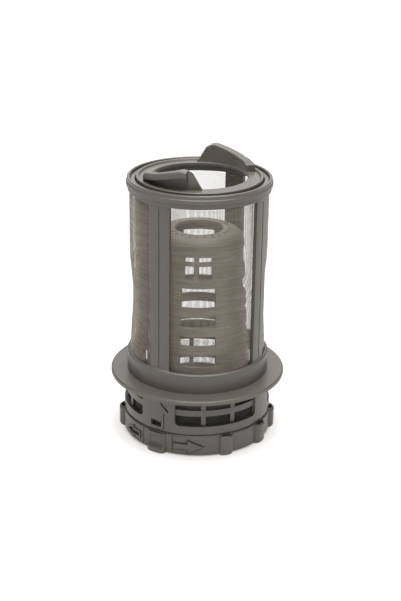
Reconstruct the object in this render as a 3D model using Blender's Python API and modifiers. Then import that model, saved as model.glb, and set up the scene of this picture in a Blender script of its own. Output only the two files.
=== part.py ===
# Dishwasher filter: a wire mesh cylinder in a moulded frame with a flange, a handle ring
# on top, a coarse cage inside, and a twist ring that locks the cage into the foot.
# Metres, +Z up along the filter's axis, z = 0 on the underside of the twist ring.
# An azimuth is in degrees from the front (-Y) towards the right (+X).

import math

import bmesh
import bpy

# Fits
CLEARANCE = 0.0003              # gap between pieces that touch
RUNNING_GAP = 0.0006            # neck of the twist ring inside the skirt

# Heights of the stretches of the frame, from the foot up
RING_HEIGHT = 0.0106            # outer wall of the twist ring
SKIRT_HEIGHT = 0.0192           # slotted skirt under the flange
FLANGE_THICKNESS = 0.0019
COLLAR_HEIGHT = 0.0097          # upstand above the flange
OPEN_HEIGHT = 0.0814            # mesh windows, from the collar to the rim
RIM_HEIGHT = 0.0067

# Radii and walls of the frame
TUBE_RADIUS = 0.0334            # outside of the four posts
TUBE_WALL = 0.0018
COLLAR_STEP = 0.0014            # collar outside the posts
COLLAR_WALL = 0.0014
COLLAR_FILLET = 0.0006          # from the collar up to a post
FLANGE_WIDTH = 0.0082           # flange outside the collar
SKIRT_STEP = 0.0030             # skirt outside the posts
SKIRT_WALL = 0.0020
RIM_OVERHANG = 0.00145          # bead of the rim outside the posts
BEAD_HEIGHT = 0.0020
LIP_WIDTH = 0.0014              # raised outer lip of the rim
LIP_HEIGHT = 0.0012
GROOVE_WIDTH = 0.00226          # recess between the lip and the handle ring
LEDGE_WIDTH = 0.0014            # inner ledge that carries the handle ring
LEDGE_THICKNESS = 0.0012
EDGE_ROUND = 0.0003             # small rounding of moulded edges

# Posts and mesh windows
SIDES = 4
POST_AZIMUTH = -33.0
POST_DEGREES = 17.2
POST_SCORE_WIDTH = 0.0007       # line down the middle of a post
POST_SCORE_DEPTH = 0.0003
SILL_HEIGHT = 0.0003            # inner edge left standing on the collar
POCKET_INSET = 0.5              # degrees from a post to the pocket for the mesh's foot

# Skirt windows with their set-back grille
SKIRT_WINDOW_AZIMUTH = 17.1
SKIRT_WINDOW_DEGREES = 71.0
SKIRT_WINDOW_SILL = 0.0047      # above the skirt's lower edge
SKIRT_WINDOW_HEAD = 0.0007      # below the flange
SKIRT_WINDOW_ROUND = 0.0022
GRILLE_SETBACK = 0.0011
GRILLE_RAIL_LOW = 0.0051        # above the window's sill
GRILLE_RAIL_HEIGHT = 0.0030
GRILLE_BAR_WIDTH = 0.0023
GRILLE_COLUMNS = 3
GRILLE_SUNK = 0.0006            # how far the bars run into the sill

# Snap tongue and its lock window in the skirt's wide pillar
LATCH_AZIMUTH = -32.7
LATCH_PILLAR_DEGREES = 32.6
LOCK_WINDOW_DEGREES = 9.4
LOCK_WINDOW_LOW = 0.0021
LOCK_WINDOW_HEIGHT = 0.0025
TONGUE_SLIT_AZIMUTH = -25.6
TONGUE_SLIT_WIDTH = 0.0005
TONGUE_SLIT_DEPTH = 0.0007
TONGUE_SLIT_LOW = 0.0014
TONGUE_SLIT_HEIGHT = 0.0080
TONGUE_SLOT_START = -28.6       # slanted slot above the slit
TONGUE_SLOT_END = -22.2
TONGUE_SLOT_TOP = 0.0150
TONGUE_SLOT_FALL = 0.0044
TONGUE_SLOT_WIDTH = 0.0011

# Mesh sleeves
SLEEVE_WALL = 0.0005
SLEEVE_BULGE_TOP = 0.0021       # mesh stands out between the posts
SLEEVE_BULGE_WAIST = 0.0006
SLEEVE_BULGE_FOOT = 0.0010
SLEEVE_WAIST_LEVEL = 0.37       # share of the window's height
WIRE_RIDGE = 0.00012
SLEEVE_ROWS = 14
SLEEVE_COLUMNS = 7              # between two posts
SLEEVE_POST_COLUMNS = 3         # behind one post
LOWER_SLEEVE_ROWS = 5
LOWER_SLEEVE_STEP = 9.0         # degrees a column

# Handle ring and its two wings
MOUTH_RADIUS = 0.0228
HANDLE_LIP_WIDTH = 0.0015
HANDLE_LIP_PROUD = 0.0003       # above the frame's rim
HANDLE_SHELF_DROP = 0.0009
HANDLE_SHELF_THICKNESS = 0.0014
HANDLE_SHELF_RISE = 0.0007
WING_WALL = 0.0017
WING_HEIGHT = 0.0092            # above the rim
WING_END_HEIGHT = 0.0050
WING_START = 4.2
WING_SHOULDER = -7.0
WING_PEAK = -18.0
WING_FALL = -54.0
WING_END = -75.0
WING_LIP_START = -12.5
WING_LIP_REACH = 0.0031
WING_LIP_THICKNESS = 0.0015
WING_LIP_CURL = 0.0030
WING_RETURN_DEGREES = 3.6
WING_COUNT = 2

# Twist ring
RING_STEP = 0.0005              # ring outside the skirt
RING_WALL = 0.0020
RING_WEB = 0.0020
RING_CHAMFER = 0.0006
NECK_WALL = 0.0019
NECK_HEIGHT = 0.0044
LUG_COUNT = 9
LUG_FIRST_AZIMUTH = 23.0
LUG_LAST_AZIMUTH = 274.0
LUG_DEGREES = 11.4
LUG_REACH = 0.0022
LUG_DROP = 0.0004               # lugs end below the ring's top
LUG_POCKET_DEGREES = 6.4
LUG_POCKET_DEPTH = 0.0026
LUG_POCKET_WALL = 0.0011
THUMB_AZIMUTH = -30.0
THUMB_DEGREES = 15.6
THUMB_REACH = 0.0028
THUMB_SCOOP_RADIUS = 0.0058
THUMB_SCOOP_DEPTH = 0.0019
THUMB_SCOOP_LEVEL = 0.0084
SEAM_OFFSET_DEGREES = 11.8      # scored lines either side of the thumb lug
SEAM_WIDTH = 0.0005
SEAM_DEPTH = 0.0004
ARROW_START = 12.5              # degrees from the thumb lug's middle
ARROW_NECK = 23.6
ARROW_TIP = 36.2
ARROW_LEVEL = 0.0048
ARROW_HEAD_HALF = 0.0033
ARROW_SHAFT_HALF = 0.0014
ARROW_RELIEF = 0.0004

# Bayonet between the twist ring and the skirt
TWIST_DEGREES = 30.0
TAB_AZIMUTH = 40.0
TAB_DEGREES = 14.0
TAB_REACH = 0.0009              # beyond the skirt's inner face
TAB_LOW = 0.0016                # above the skirt's lower edge
TAB_HEIGHT = 0.0016
NUB_REACH = 0.0003
NUB_DEGREES = 4.0
NUB_HEIGHT = 0.0012

# Coarse cage
CAGE_WALL = 0.0012
CAGE_HOLE_RADIUS = 0.0117
CAGE_TOP_RADIUS = 0.0219
CAGE_FOOT_RADIUS = 0.0264
CAGE_HEIGHT = 0.0934            # from its flange to the top of the dome
CAGE_DOME_DROP = 0.0062
CAGE_FLANGE = 0.0015
CAGE_SPIGOT = 0.0070
CAGE_RIM_WIDTH = 0.0014
CAGE_RIM_HEIGHT = 0.0004
CAGE_TOP_BAND = 0.0077          # from the dome's top to the first window
CAGE_ROW_HEIGHTS = (0.0111, 0.0095, 0.0053, 0.0051, 0.0057, 0.0060)
CAGE_RIB_HEIGHTS = (0.0043, 0.0045, 0.0049, 0.0050, 0.0048)
CAGE_COLUMNS = 4
CAGE_WINDOW_DEGREES = 41.0
CAGE_TOP_WINDOW_DEGREES = 33.0
CAGE_CROSS_BAR = 0.0020
CAGE_CROSS_DROP = 0.0023
CAGE_CROSS_POST_DEGREES = 6.0
VENT_COUNT = 24
VENT_RADIUS = 0.00042
VENT_CIRCLE = 0.0026            # outside the cage's hole

# Facets
ROUND_SEGMENTS = 40
CAGE_SEGMENTS = 32
BLOCK_STEP = 7.5                # largest step of a swept block that shows, in degrees
CUTTER_STEP = 24.0              # largest step of a cutter that reaches past its wall
FLAT_DEGREES = 0.4              # faces flatter than this to each other become one

# Levels and radii that follow
SKIRT_BOTTOM = RING_HEIGHT + CLEARANCE
FLANGE_UNDER = SKIRT_BOTTOM + SKIRT_HEIGHT
FLANGE_TOP = FLANGE_UNDER + FLANGE_THICKNESS
COLLAR_TOP = FLANGE_TOP + COLLAR_HEIGHT
RIM_UNDER = COLLAR_TOP + OPEN_HEIGHT
RIM_TOP = RIM_UNDER + RIM_HEIGHT

TUBE_INNER = TUBE_RADIUS - TUBE_WALL
COLLAR_RADIUS = TUBE_RADIUS + COLLAR_STEP
COLLAR_INNER = COLLAR_RADIUS - COLLAR_WALL
FLANGE_RADIUS = COLLAR_RADIUS + FLANGE_WIDTH
SKIRT_RADIUS = TUBE_RADIUS + SKIRT_STEP
SKIRT_INNER = SKIRT_RADIUS - SKIRT_WALL
RIM_RADIUS = TUBE_RADIUS + RIM_OVERHANG
LIP_OUTER = RIM_RADIUS - 0.5 * EDGE_ROUND - EDGE_ROUND
LIP_INNER = LIP_OUTER - LIP_WIDTH
RIM_BORE = LIP_INNER - GROOVE_WIDTH
RIM_LEDGE_INNER = RIM_BORE - LEDGE_WIDTH
GROOVE_FLOOR = RIM_TOP - LIP_HEIGHT
BEAD_TOP = RIM_TOP - BEAD_HEIGHT
LEDGE_TOP = RIM_UNDER + 2 * LEDGE_THICKNESS
MESH_SEAT = FLANGE_TOP + CLEARANCE

RING_RADIUS = SKIRT_RADIUS + RING_STEP
NECK_RADIUS = SKIRT_INNER - RUNNING_GAP
NECK_INNER = NECK_RADIUS - NECK_WALL
NECK_TOP = RING_HEIGHT + NECK_HEIGHT
WEB_UNDER = RING_HEIGHT - RING_WEB
WEB_HOLE = CAGE_FOOT_RADIUS + RUNNING_GAP
LUG_TOP = RING_HEIGHT - LUG_DROP
TAB_BOTTOM = SKIRT_BOTTOM + TAB_LOW
TAB_TOP = TAB_BOTTOM + TAB_HEIGHT
TAB_RADIUS = SKIRT_INNER + TAB_REACH
LOCK_BOTTOM = SKIRT_BOTTOM + LOCK_WINDOW_LOW

WINDOW_SILL = SKIRT_BOTTOM + SKIRT_WINDOW_SILL
WINDOW_HEAD = FLANGE_UNDER - SKIRT_WINDOW_HEAD
RAIL_LOW = WINDOW_SILL + GRILLE_RAIL_LOW
RAIL_TOP = RAIL_LOW + GRILLE_RAIL_HEIGHT
GRILLE_RADIUS = SKIRT_RADIUS - GRILLE_SETBACK

CAGE_SEAT = RING_HEIGHT + CLEARANCE
CAGE_FLANGE_TOP = CAGE_SEAT + CAGE_FLANGE
CAGE_TOP = CAGE_SEAT + CAGE_HEIGHT
CAGE_SHOULDER = CAGE_TOP - CAGE_DOME_DROP

QUARTER = 360.0 / SIDES
BEYOND = 0.0040                 # how far a cutter reaches past the wall that it cuts
STEP_SPAN = 0.02                # degrees taken by a square step in a swept block


def place(radius, azimuth, z):
    angle = math.radians(azimuth)
    return (radius * math.sin(angle), -radius * math.cos(angle), z)


def degrees_of(length, radius):
    return math.degrees(length / radius)


def make_collection(name):
    made = bpy.data.collections.new(name)
    bpy.context.scene.collection.children.link(made)
    return made


for started_with in list(bpy.data.objects):
    bpy.data.objects.remove(started_with, do_unlink=True)

PIECES = make_collection("dishwasher_filter")
TOOLS = make_collection("cutters")


def make_material(name, colour, roughness, metallic=0.0):
    made = bpy.data.materials.new(name)
    made.use_nodes = True
    shader = made.node_tree.nodes["Principled BSDF"]
    shader.inputs["Base Color"].default_value = (*colour, 1.0)
    shader.inputs["Roughness"].default_value = roughness
    shader.inputs["Metallic"].default_value = metallic
    return made


def add_object(name, mesh, material=None):
    made = bpy.data.objects.new(name, mesh)
    if material:
        PIECES.objects.link(made)
        mesh.materials.append(material)
    else:
        TOOLS.objects.link(made)
        made.hide_render = True
        made.display_type = "WIRE"
    return made


def mesh_from(name, shape, closed=True):
    if closed:
        bmesh.ops.recalc_face_normals(shape, faces=shape.faces)
    mesh = bpy.data.meshes.new(name)
    shape.to_mesh(mesh)
    shape.free()
    return mesh


# Turned pieces: the outline runs down its outer side and back up the inner one
def turned(name, outline, segments, material=None):
    count = len(outline)
    mesh = bpy.data.meshes.new(name)
    corners = [(radius, 0.0, z) for radius, z in outline]
    mesh.from_pydata(corners, [(i, (i + 1) % count) for i in range(count)], [])
    made = add_object(name, mesh, material)
    screw = made.modifiers.new("turn", "SCREW")
    screw.angle = math.tau
    screw.steps = screw.render_steps = segments
    screw.use_merge_vertices = True
    screw.merge_threshold = 0.00001
    return made


# Blocks swept round the axis: each station is an azimuth and a section of (radius, z)
def add_sweep(shape, stations):
    loops = []
    for azimuth, section in stations:
        loops.append([shape.verts.new(place(radius, azimuth, z)) for radius, z in section])
    for here, there in zip(loops, loops[1:]):
        for i in range(len(here)):
            j = (i + 1) % len(here)
            shape.faces.new((here[i], here[j], there[j], there[i]))
    shape.faces.new(loops[0])
    shape.faces.new(loops[-1])


def swept(name, blocks, material=None):
    shape = bmesh.new()
    for stations in blocks:
        add_sweep(shape, stations)
    return add_object(name, mesh_from(name, shape), material)


def rectangle(inner, outer, low, high):
    return [(inner, low), (outer, low), (outer, high), (inner, high)]


def azimuth_steps(start, end, step=BLOCK_STEP):
    count = max(1, math.ceil(abs(end - start) / step))
    return [start + (end - start) * i / count for i in range(count + 1)]


def arc_block(start, end, inner, outer, low, high, step=BLOCK_STEP):
    section = rectangle(inner, outer, low, high)
    return [(azimuth, section) for azimuth in azimuth_steps(start, end, step)]


def wall_cut(start, end, inner, outer, low, high):
    return arc_block(start, end, inner - BEYOND, outer + BEYOND, low, high, CUTTER_STEP)


def combine(target, operand, operation):
    joined = target.modifiers.new(operand.name, "BOOLEAN")
    joined.operation = operation
    joined.object = operand
    joined.solver = "EXACT"


def finish(piece):
    # Freeze the modifiers, join flat faces, shade the round ones smooth, keep edges sharp
    flat = piece.modifiers.new("flat faces", "DECIMATE")
    flat.decimate_type = "DISSOLVE"
    flat.angle_limit = math.radians(FLAT_DEGREES)
    bpy.context.view_layer.update()
    seen = piece.evaluated_get(bpy.context.evaluated_depsgraph_get())
    mesh = bpy.data.meshes.new_from_object(seen)
    piece.modifiers.clear()
    piece.data = mesh
    mesh.shade_smooth()
    mesh.set_sharp_from_angle(angle=math.radians(32.0))


# Outer frame: rim, posts, collar, flange and skirt are one moulding
def frame_outline():
    return [
        (LIP_OUTER - EDGE_ROUND, RIM_TOP),
        (LIP_OUTER, RIM_TOP - EDGE_ROUND),
        (LIP_OUTER, BEAD_TOP + EDGE_ROUND),
        (RIM_RADIUS, BEAD_TOP - 0.5 * EDGE_ROUND),
        (RIM_RADIUS, BEAD_TOP - BEAD_HEIGHT),
        (TUBE_RADIUS, RIM_UNDER),
        (TUBE_RADIUS, COLLAR_TOP + COLLAR_FILLET),
        (COLLAR_RADIUS - EDGE_ROUND, COLLAR_TOP),
        (COLLAR_RADIUS, COLLAR_TOP - EDGE_ROUND),
        (COLLAR_RADIUS, FLANGE_TOP + 2 * EDGE_ROUND),
        (COLLAR_RADIUS + 2 * EDGE_ROUND, FLANGE_TOP),
        (FLANGE_RADIUS - 2 * EDGE_ROUND, FLANGE_TOP),
        (FLANGE_RADIUS, FLANGE_TOP - 2 * EDGE_ROUND),
        (FLANGE_RADIUS, FLANGE_UNDER + 2 * EDGE_ROUND),
        (FLANGE_RADIUS - 2 * EDGE_ROUND, FLANGE_UNDER),
        (SKIRT_RADIUS, FLANGE_UNDER),
        (SKIRT_RADIUS, SKIRT_BOTTOM + EDGE_ROUND),
        (SKIRT_RADIUS - EDGE_ROUND, SKIRT_BOTTOM),
        (SKIRT_INNER, SKIRT_BOTTOM),
        (SKIRT_INNER, FLANGE_UNDER),
        (TUBE_INNER, FLANGE_UNDER + EDGE_ROUND),
        (TUBE_INNER, LEDGE_TOP - LEDGE_THICKNESS),
        (RIM_LEDGE_INNER, LEDGE_TOP - LEDGE_THICKNESS),
        (RIM_LEDGE_INNER, LEDGE_TOP),
        (RIM_BORE, LEDGE_TOP),
        (RIM_BORE, GROOVE_FLOOR),
        (LIP_INNER, GROOVE_FLOOR),
        (LIP_INNER, RIM_TOP - EDGE_ROUND),
        (LIP_INNER + EDGE_ROUND, RIM_TOP),
    ]


def mesh_window(start, end):
    # The head slopes up inwards, as the mould's core leaves it
    inner = TUBE_INNER - BEYOND
    outer = TUBE_RADIUS + BEYOND
    slope = (LEDGE_TOP - LEDGE_THICKNESS - RIM_UNDER) / TUBE_WALL
    section = [
        (inner, COLLAR_TOP + SILL_HEIGHT),
        (outer, COLLAR_TOP + SILL_HEIGHT),
        (outer, RIM_UNDER - slope * BEYOND),
        (inner, RIM_UNDER + slope * (TUBE_WALL + BEYOND)),
    ]
    return [(azimuth, section) for azimuth in azimuth_steps(start, end, CUTTER_STEP)]


def rounded_window(start, end, inner, outer, low, high, radius):
    # The two lower corners are quarter circles
    turn = degrees_of(radius, outer)
    stations = []
    for i in range(4):
        angle = math.radians(30.0 * i)
        level = low + radius * (1.0 - math.sin(angle))
        stations.append((start + turn * (1.0 - math.cos(angle)), rectangle(inner, outer, level, high)))
    for azimuth in azimuth_steps(start + turn, end - turn, CUTTER_STEP)[1:-1]:
        stations.append((azimuth, rectangle(inner, outer, low, high)))
    for i in range(4):
        angle = math.radians(90.0 - 30.0 * i)
        level = low + radius * (1.0 - math.sin(angle))
        stations.append((end - turn * (1.0 - math.cos(angle)), rectangle(inner, outer, level, high)))
    return stations


def skirt_windows():
    # The window left of the snap tongue is shorter, because its pillar is wider
    half = 0.5 * SKIRT_WINDOW_DEGREES
    spans = []
    for side in range(SIDES):
        middle = SKIRT_WINDOW_AZIMUTH + side * QUARTER
        start = middle - half
        end = min(middle + half, LATCH_AZIMUTH - 0.5 * LATCH_PILLAR_DEGREES + 360.0)
        spans.append((start, end))
    return spans


def grilles():
    # One rail and two upright bars in each window, a little behind the pillars
    inner = SKIRT_INNER + EDGE_ROUND
    bar = degrees_of(GRILLE_BAR_WIDTH, GRILLE_RADIUS)
    sunk = 0.5 * bar
    rails = []
    bars = []
    for start, end in skirt_windows():
        rails.append(arc_block(start - sunk, end + sunk, inner, GRILLE_RADIUS, RAIL_LOW, RAIL_TOP))
        pitch = (end - start + bar) / GRILLE_COLUMNS
        for column in range(1, GRILLE_COLUMNS):
            right = start + column * pitch
            bars.append(arc_block(right - bar, right, inner + 0.5 * EDGE_ROUND,
                                  GRILLE_RADIUS - 0.5 * EDGE_ROUND,
                                  WINDOW_SILL - GRILLE_SUNK, WINDOW_HEAD + 0.5 * SKIRT_WINDOW_HEAD))
    return rails, bars


def bayonet_grooves():
    # A tab enters from below at one end and is locked at the other
    play = degrees_of(CLEARANCE, TAB_RADIUS)
    inner = SKIRT_INNER - BEYOND
    outer = TAB_RADIUS + CLEARANCE
    top = TAB_TOP + CLEARANCE
    entry = rectangle(inner, outer, SKIRT_BOTTOM - BEYOND, top)
    track = rectangle(inner, outer, TAB_BOTTOM - CLEARANCE, top)
    grooves = []
    for side in range(SIDES):
        last = TAB_AZIMUTH + side * QUARTER + 0.5 * TAB_DEGREES + play
        first = last - TAB_DEGREES - TWIST_DEGREES - 2 * play
        entry_end = first + TAB_DEGREES + 2 * play
        stations = [(azimuth, entry) for azimuth in azimuth_steps(first, entry_end)]
        stations += [(azimuth, track) for azimuth in azimuth_steps(entry_end + STEP_SPAN, last)]
        grooves.append(stations)
    return grooves


def latch_cuts():
    half = 0.5 * LOCK_WINDOW_DEGREES
    inner = SKIRT_INNER - BEYOND
    outer = SKIRT_RADIUS + BEYOND
    lock = wall_cut(LATCH_AZIMUTH - half, LATCH_AZIMUTH + half, SKIRT_INNER, SKIRT_RADIUS,
                    LOCK_BOTTOM, LOCK_BOTTOM + LOCK_WINDOW_HEIGHT)
    half = 0.5 * degrees_of(TONGUE_SLIT_WIDTH, SKIRT_RADIUS)
    low = SKIRT_BOTTOM + TONGUE_SLIT_LOW
    slit = arc_block(TONGUE_SLIT_AZIMUTH - half, TONGUE_SLIT_AZIMUTH + half,
                     SKIRT_RADIUS - TONGUE_SLIT_DEPTH, outer, low, low + TONGUE_SLIT_HEIGHT)
    top = SKIRT_BOTTOM + TONGUE_SLOT_TOP
    foot = top - TONGUE_SLOT_FALL
    slot = [
        (TONGUE_SLOT_START, rectangle(inner, outer, top - TONGUE_SLOT_WIDTH, top)),
        (TONGUE_SLOT_END, rectangle(inner, outer, foot - TONGUE_SLOT_WIDTH, foot)),
    ]
    return [lock, slit, slot]


def make_frame(material):
    frame = turned("outer_frame", frame_outline(), ROUND_SEGMENTS, material)
    half_post = 0.5 * POST_DEGREES
    windows = []
    pockets = []
    scores = []
    for side in range(SIDES):
        middle = POST_AZIMUTH + side * QUARTER
        start = middle + half_post
        end = middle + QUARTER - half_post
        windows.append(mesh_window(start, end))
        pockets.append(arc_block(start + POCKET_INSET, end - POCKET_INSET, TUBE_INNER - BEYOND,
                                 COLLAR_INNER, MESH_SEAT, COLLAR_TOP + 4 * SILL_HEIGHT))
        half_score = 0.5 * degrees_of(POST_SCORE_WIDTH, TUBE_RADIUS)
        scores.append(arc_block(middle - half_score, middle + half_score,
                                TUBE_RADIUS - POST_SCORE_DEPTH, TUBE_RADIUS + BEYOND,
                                COLLAR_TOP + LIP_HEIGHT, RIM_UNDER - LIP_HEIGHT))
    openings = [
        rounded_window(start, end, SKIRT_INNER - BEYOND, SKIRT_RADIUS + BEYOND,
                       WINDOW_SILL, WINDOW_HEAD, SKIRT_WINDOW_ROUND)
        for start, end in skirt_windows()
    ]
    rails, bars = grilles()
    combine(frame, swept("mesh_windows", windows), "DIFFERENCE")
    combine(frame, swept("mesh_pockets", pockets), "DIFFERENCE")
    combine(frame, swept("post_scores", scores), "DIFFERENCE")
    combine(frame, swept("skirt_windows", openings), "DIFFERENCE")
    combine(frame, swept("grille_rails", rails), "UNION")
    combine(frame, swept("grille_bars", bars), "UNION")
    combine(frame, swept("bayonet_grooves", bayonet_grooves()), "DIFFERENCE")
    combine(frame, swept("latch_cuts", latch_cuts()), "DIFFERENCE")
    finish(frame)


# Mesh sleeves: one thin wall each, with wire ridges and a field of gaps
def sleeve_bulge(share):
    # How far the mesh stands out at a share of the window's height, with a waist
    if share < SLEEVE_WAIST_LEVEL:
        blend = share / SLEEVE_WAIST_LEVEL
        ends = (SLEEVE_BULGE_FOOT, SLEEVE_BULGE_WAIST)
    else:
        blend = min(1.0, 2.2 * (share - SLEEVE_WAIST_LEVEL) / (1.0 - SLEEVE_WAIST_LEVEL))
        ends = (SLEEVE_BULGE_WAIST, SLEEVE_BULGE_TOP)
    smooth = blend * blend * (3.0 - 2.0 * blend)
    return ends[0] + (ends[1] - ends[0]) * smooth


def make_sleeve(name, columns, levels, radius_at, is_gap, material):
    shape = bmesh.new()
    grid = [[shape.verts.new(place(radius_at(azimuth, row, z), azimuth, z)) for azimuth in columns]
            for row, z in enumerate(levels)]
    count = len(columns)
    for row in range(len(levels) - 1):
        for column in range(count):
            if not is_gap(column, row):
                beside = (column + 1) % count
                shape.faces.new((grid[row][column], grid[row][beside],
                                 grid[row + 1][beside], grid[row + 1][column]))
    sleeve = add_object(name, mesh_from(name, shape, closed=False), material)
    wall = sleeve.modifiers.new("wall", "SOLIDIFY")
    wall.thickness = SLEEVE_WALL
    wall.offset = -1.0
    wall.use_even_offset = True
    finish(sleeve)


def make_upper_mesh(material):
    half_post = 0.5 * POST_DEGREES
    cover = degrees_of(CLEARANCE, TUBE_INNER) + 0.5
    span = QUARTER - POST_DEGREES - 2 * cover
    columns = []
    for side in range(SIDES):
        start = POST_AZIMUTH + side * QUARTER - half_post - cover
        behind = POST_DEGREES + 2 * cover
        columns += [start + behind * i / SLEEVE_POST_COLUMNS for i in range(SLEEVE_POST_COLUMNS)]
        columns += [start + behind + span * i / SLEEVE_COLUMNS for i in range(SLEEVE_COLUMNS)]
    bottom = MESH_SEAT + CLEARANCE
    top = RIM_UNDER - CLEARANCE
    sill = COLLAR_TOP + SILL_HEIGHT
    levels = [bottom] + [sill + (top - sill) * i / SLEEVE_ROWS for i in range(SLEEVE_ROWS + 1)]
    seat = TUBE_INNER - CLEARANCE
    collar_room = COLLAR_INNER - CLEARANCE - WIRE_RIDGE

    def radius_at(azimuth, row, z):
        along = (azimuth - POST_AZIMUTH - half_post - cover) % QUARTER
        across = min(1.0, along / span)
        share = min(1.0, max(0.0, (z - sill) / (top - sill)))
        crown = 1.0 - abs(2.0 * across - 1.0) ** 3
        radius = seat + sleeve_bulge(share) * crown
        if z <= sill:
            radius = min(radius, collar_room)
        ridge = WIRE_RIDGE if row % 2 else 0.0
        return radius - WIRE_RIDGE + ridge

    per_side = SLEEVE_POST_COLUMNS + SLEEVE_COLUMNS

    def is_gap(column, row):
        # Every other row has gaps, set over the bars of the row of gaps below
        across = column % per_side - SLEEVE_POST_COLUMNS
        inside = 0 < across < SLEEVE_COLUMNS - 1
        return inside and row > 1 and row % 2 == 0 and (across + row // 2) % 2 == 0

    make_sleeve("upper_mesh", columns, levels, radius_at, is_gap, material)


def make_lower_mesh(material):
    columns = azimuth_steps(0.0, 360.0, LOWER_SLEEVE_STEP)[:-1]
    bottom = WINDOW_SILL - CLEARANCE
    top = FLANGE_UNDER - CLEARANCE
    levels = [bottom + (top - bottom) * i / LOWER_SLEEVE_ROWS for i in range(LOWER_SLEEVE_ROWS + 1)]
    seat = SKIRT_INNER - CLEARANCE

    def radius_at(azimuth, row, z):
        return seat - (0.0 if row % 2 else WIRE_RIDGE)

    def is_gap(column, row):
        return row % 2 == 1 and (column + row // 2) % 2 == 0

    make_sleeve("lower_mesh", columns, levels, radius_at, is_gap, material)


# Handle ring: a turned ring in the rim's bore, with two wings standing on its mouth
def wing_top(azimuth):
    # Height of a wing's edge: a slanted end, a peak, then a long fall to the other end
    base = RIM_TOP - HANDLE_SHELF_THICKNESS
    peak = RIM_TOP + WING_HEIGHT
    end = RIM_TOP + WING_END_HEIGHT
    marks = (
        (WING_START, RIM_TOP - 2 * CLEARANCE),
        (WING_SHOULDER, peak - 0.17 * WING_HEIGHT),
        (WING_SHOULDER - 3.0, peak - 0.05 * WING_HEIGHT),
        (WING_PEAK, peak),
        (WING_FALL, end),
        (WING_END + 6.0, end - 0.1 * WING_END_HEIGHT),
        (WING_END, end - 0.4 * WING_END_HEIGHT),
    )
    for (left, high), (right, low) in zip(marks, marks[1:]):
        if azimuth >= right:
            return high + (low - high) * (azimuth - left) / (right - left)
    return base


def make_handle(material):
    radius = RIM_BORE - CLEARANCE
    top = RIM_TOP + HANDLE_LIP_PROUD
    inner = radius - HANDLE_LIP_WIDTH
    bottom = LEDGE_TOP + CLEARANCE
    shelf = top - HANDLE_SHELF_DROP
    mouth_top = shelf + HANDLE_SHELF_RISE
    outline = [
        (radius - EDGE_ROUND, top),
        (radius, top - EDGE_ROUND),
        (radius, bottom),
        (inner, bottom),
        (inner, shelf - HANDLE_SHELF_THICKNESS),
        (MOUTH_RADIUS, mouth_top - HANDLE_SHELF_THICKNESS),
        (MOUTH_RADIUS, mouth_top - EDGE_ROUND),
        (MOUTH_RADIUS + EDGE_ROUND, mouth_top),
        (inner - EDGE_ROUND, shelf),
        (inner, top - EDGE_ROUND),
        (inner + EDGE_ROUND, top),
    ]
    ring = turned("handle_ring", outline, ROUND_SEGMENTS, material)

    base = shelf - 0.5 * HANDLE_SHELF_THICKNESS
    face = MOUTH_RADIUS + EDGE_ROUND
    back = face + WING_WALL
    reach = back + WING_LIP_REACH

    def plain(azimuth):
        edge = wing_top(azimuth)
        rise = edge - base
        side = [(back, base + rise * share) for share in (0.0, 0.3, 0.4, 0.5, 0.6, 0.8)]
        return [(face, base)] + side + [(back - 0.1 * rise, edge), (face + 0.1 * rise, edge),
                                        (face, base + 0.9 * rise)]

    def lipped(azimuth):
        edge = wing_top(azimuth)
        under = edge - WING_LIP_THICKNESS
        hem = edge - WING_LIP_CURL
        return [(face, base), (back, base), (back, under), (reach - WING_LIP_THICKNESS, under),
                (reach - WING_LIP_THICKNESS, hem), (reach, hem), (reach, edge - 2 * EDGE_ROUND),
                (reach - 2 * EDGE_ROUND, edge), (face + EDGE_ROUND, edge), (face, edge - EDGE_ROUND)]

    def returned(azimuth):
        edge = wing_top(azimuth)
        rise = edge - base
        side = [(reach, base + rise * share) for share in (0.0, 0.2, 0.4, 0.6, 0.7, 0.8)]
        return [(face, base)] + side + [(reach - 2 * EDGE_ROUND, edge), (face + EDGE_ROUND, edge),
                                        (face, edge - EDGE_ROUND)]

    wings = []
    for wing in range(WING_COUNT):
        turn = wing * 360.0 / WING_COUNT
        start = 0.5 * (WING_SHOULDER + WING_START)
        stations = [(a, plain(a)) for a in (WING_START, start, WING_SHOULDER, WING_LIP_START)]
        flap = WING_END + WING_RETURN_DEGREES
        for azimuth in [WING_LIP_START - STEP_SPAN] + azimuth_steps(WING_PEAK, WING_FALL, 9.0):
            stations.append((azimuth, lipped(azimuth)))
        stations += [(a, lipped(a)) for a in (0.5 * (WING_FALL + flap), flap + STEP_SPAN)]
        stations += [(a, returned(a)) for a in (flap, WING_END)]
        wings.append([(azimuth + turn, section) for azimuth, section in stations])
    combine(ring, swept("wings", wings), "UNION")
    finish(ring)


# Twist ring: foot of the filter, with finger lugs, arrows and bayonet tabs
def lug_block(middle, span, reach, low, high, steps):
    sunk = EDGE_ROUND
    stations = []
    for i in range(steps + 1):
        across = 2.0 * i / steps - 1.0
        crown = math.sqrt(max(0.0, 1.0 - abs(across) ** 3))
        outer = RING_RADIUS - sunk + (reach + sunk) * crown
        stations.append((middle + 0.5 * span * across, [
            (RING_RADIUS - RING_WALL, low), (outer - RING_CHAMFER, low), (outer, low + 1.5 * RING_CHAMFER),
            (outer, high - RING_CHAMFER), (outer - RING_CHAMFER, high), (RING_RADIUS - RING_WALL, high)]))
    return stations


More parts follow.
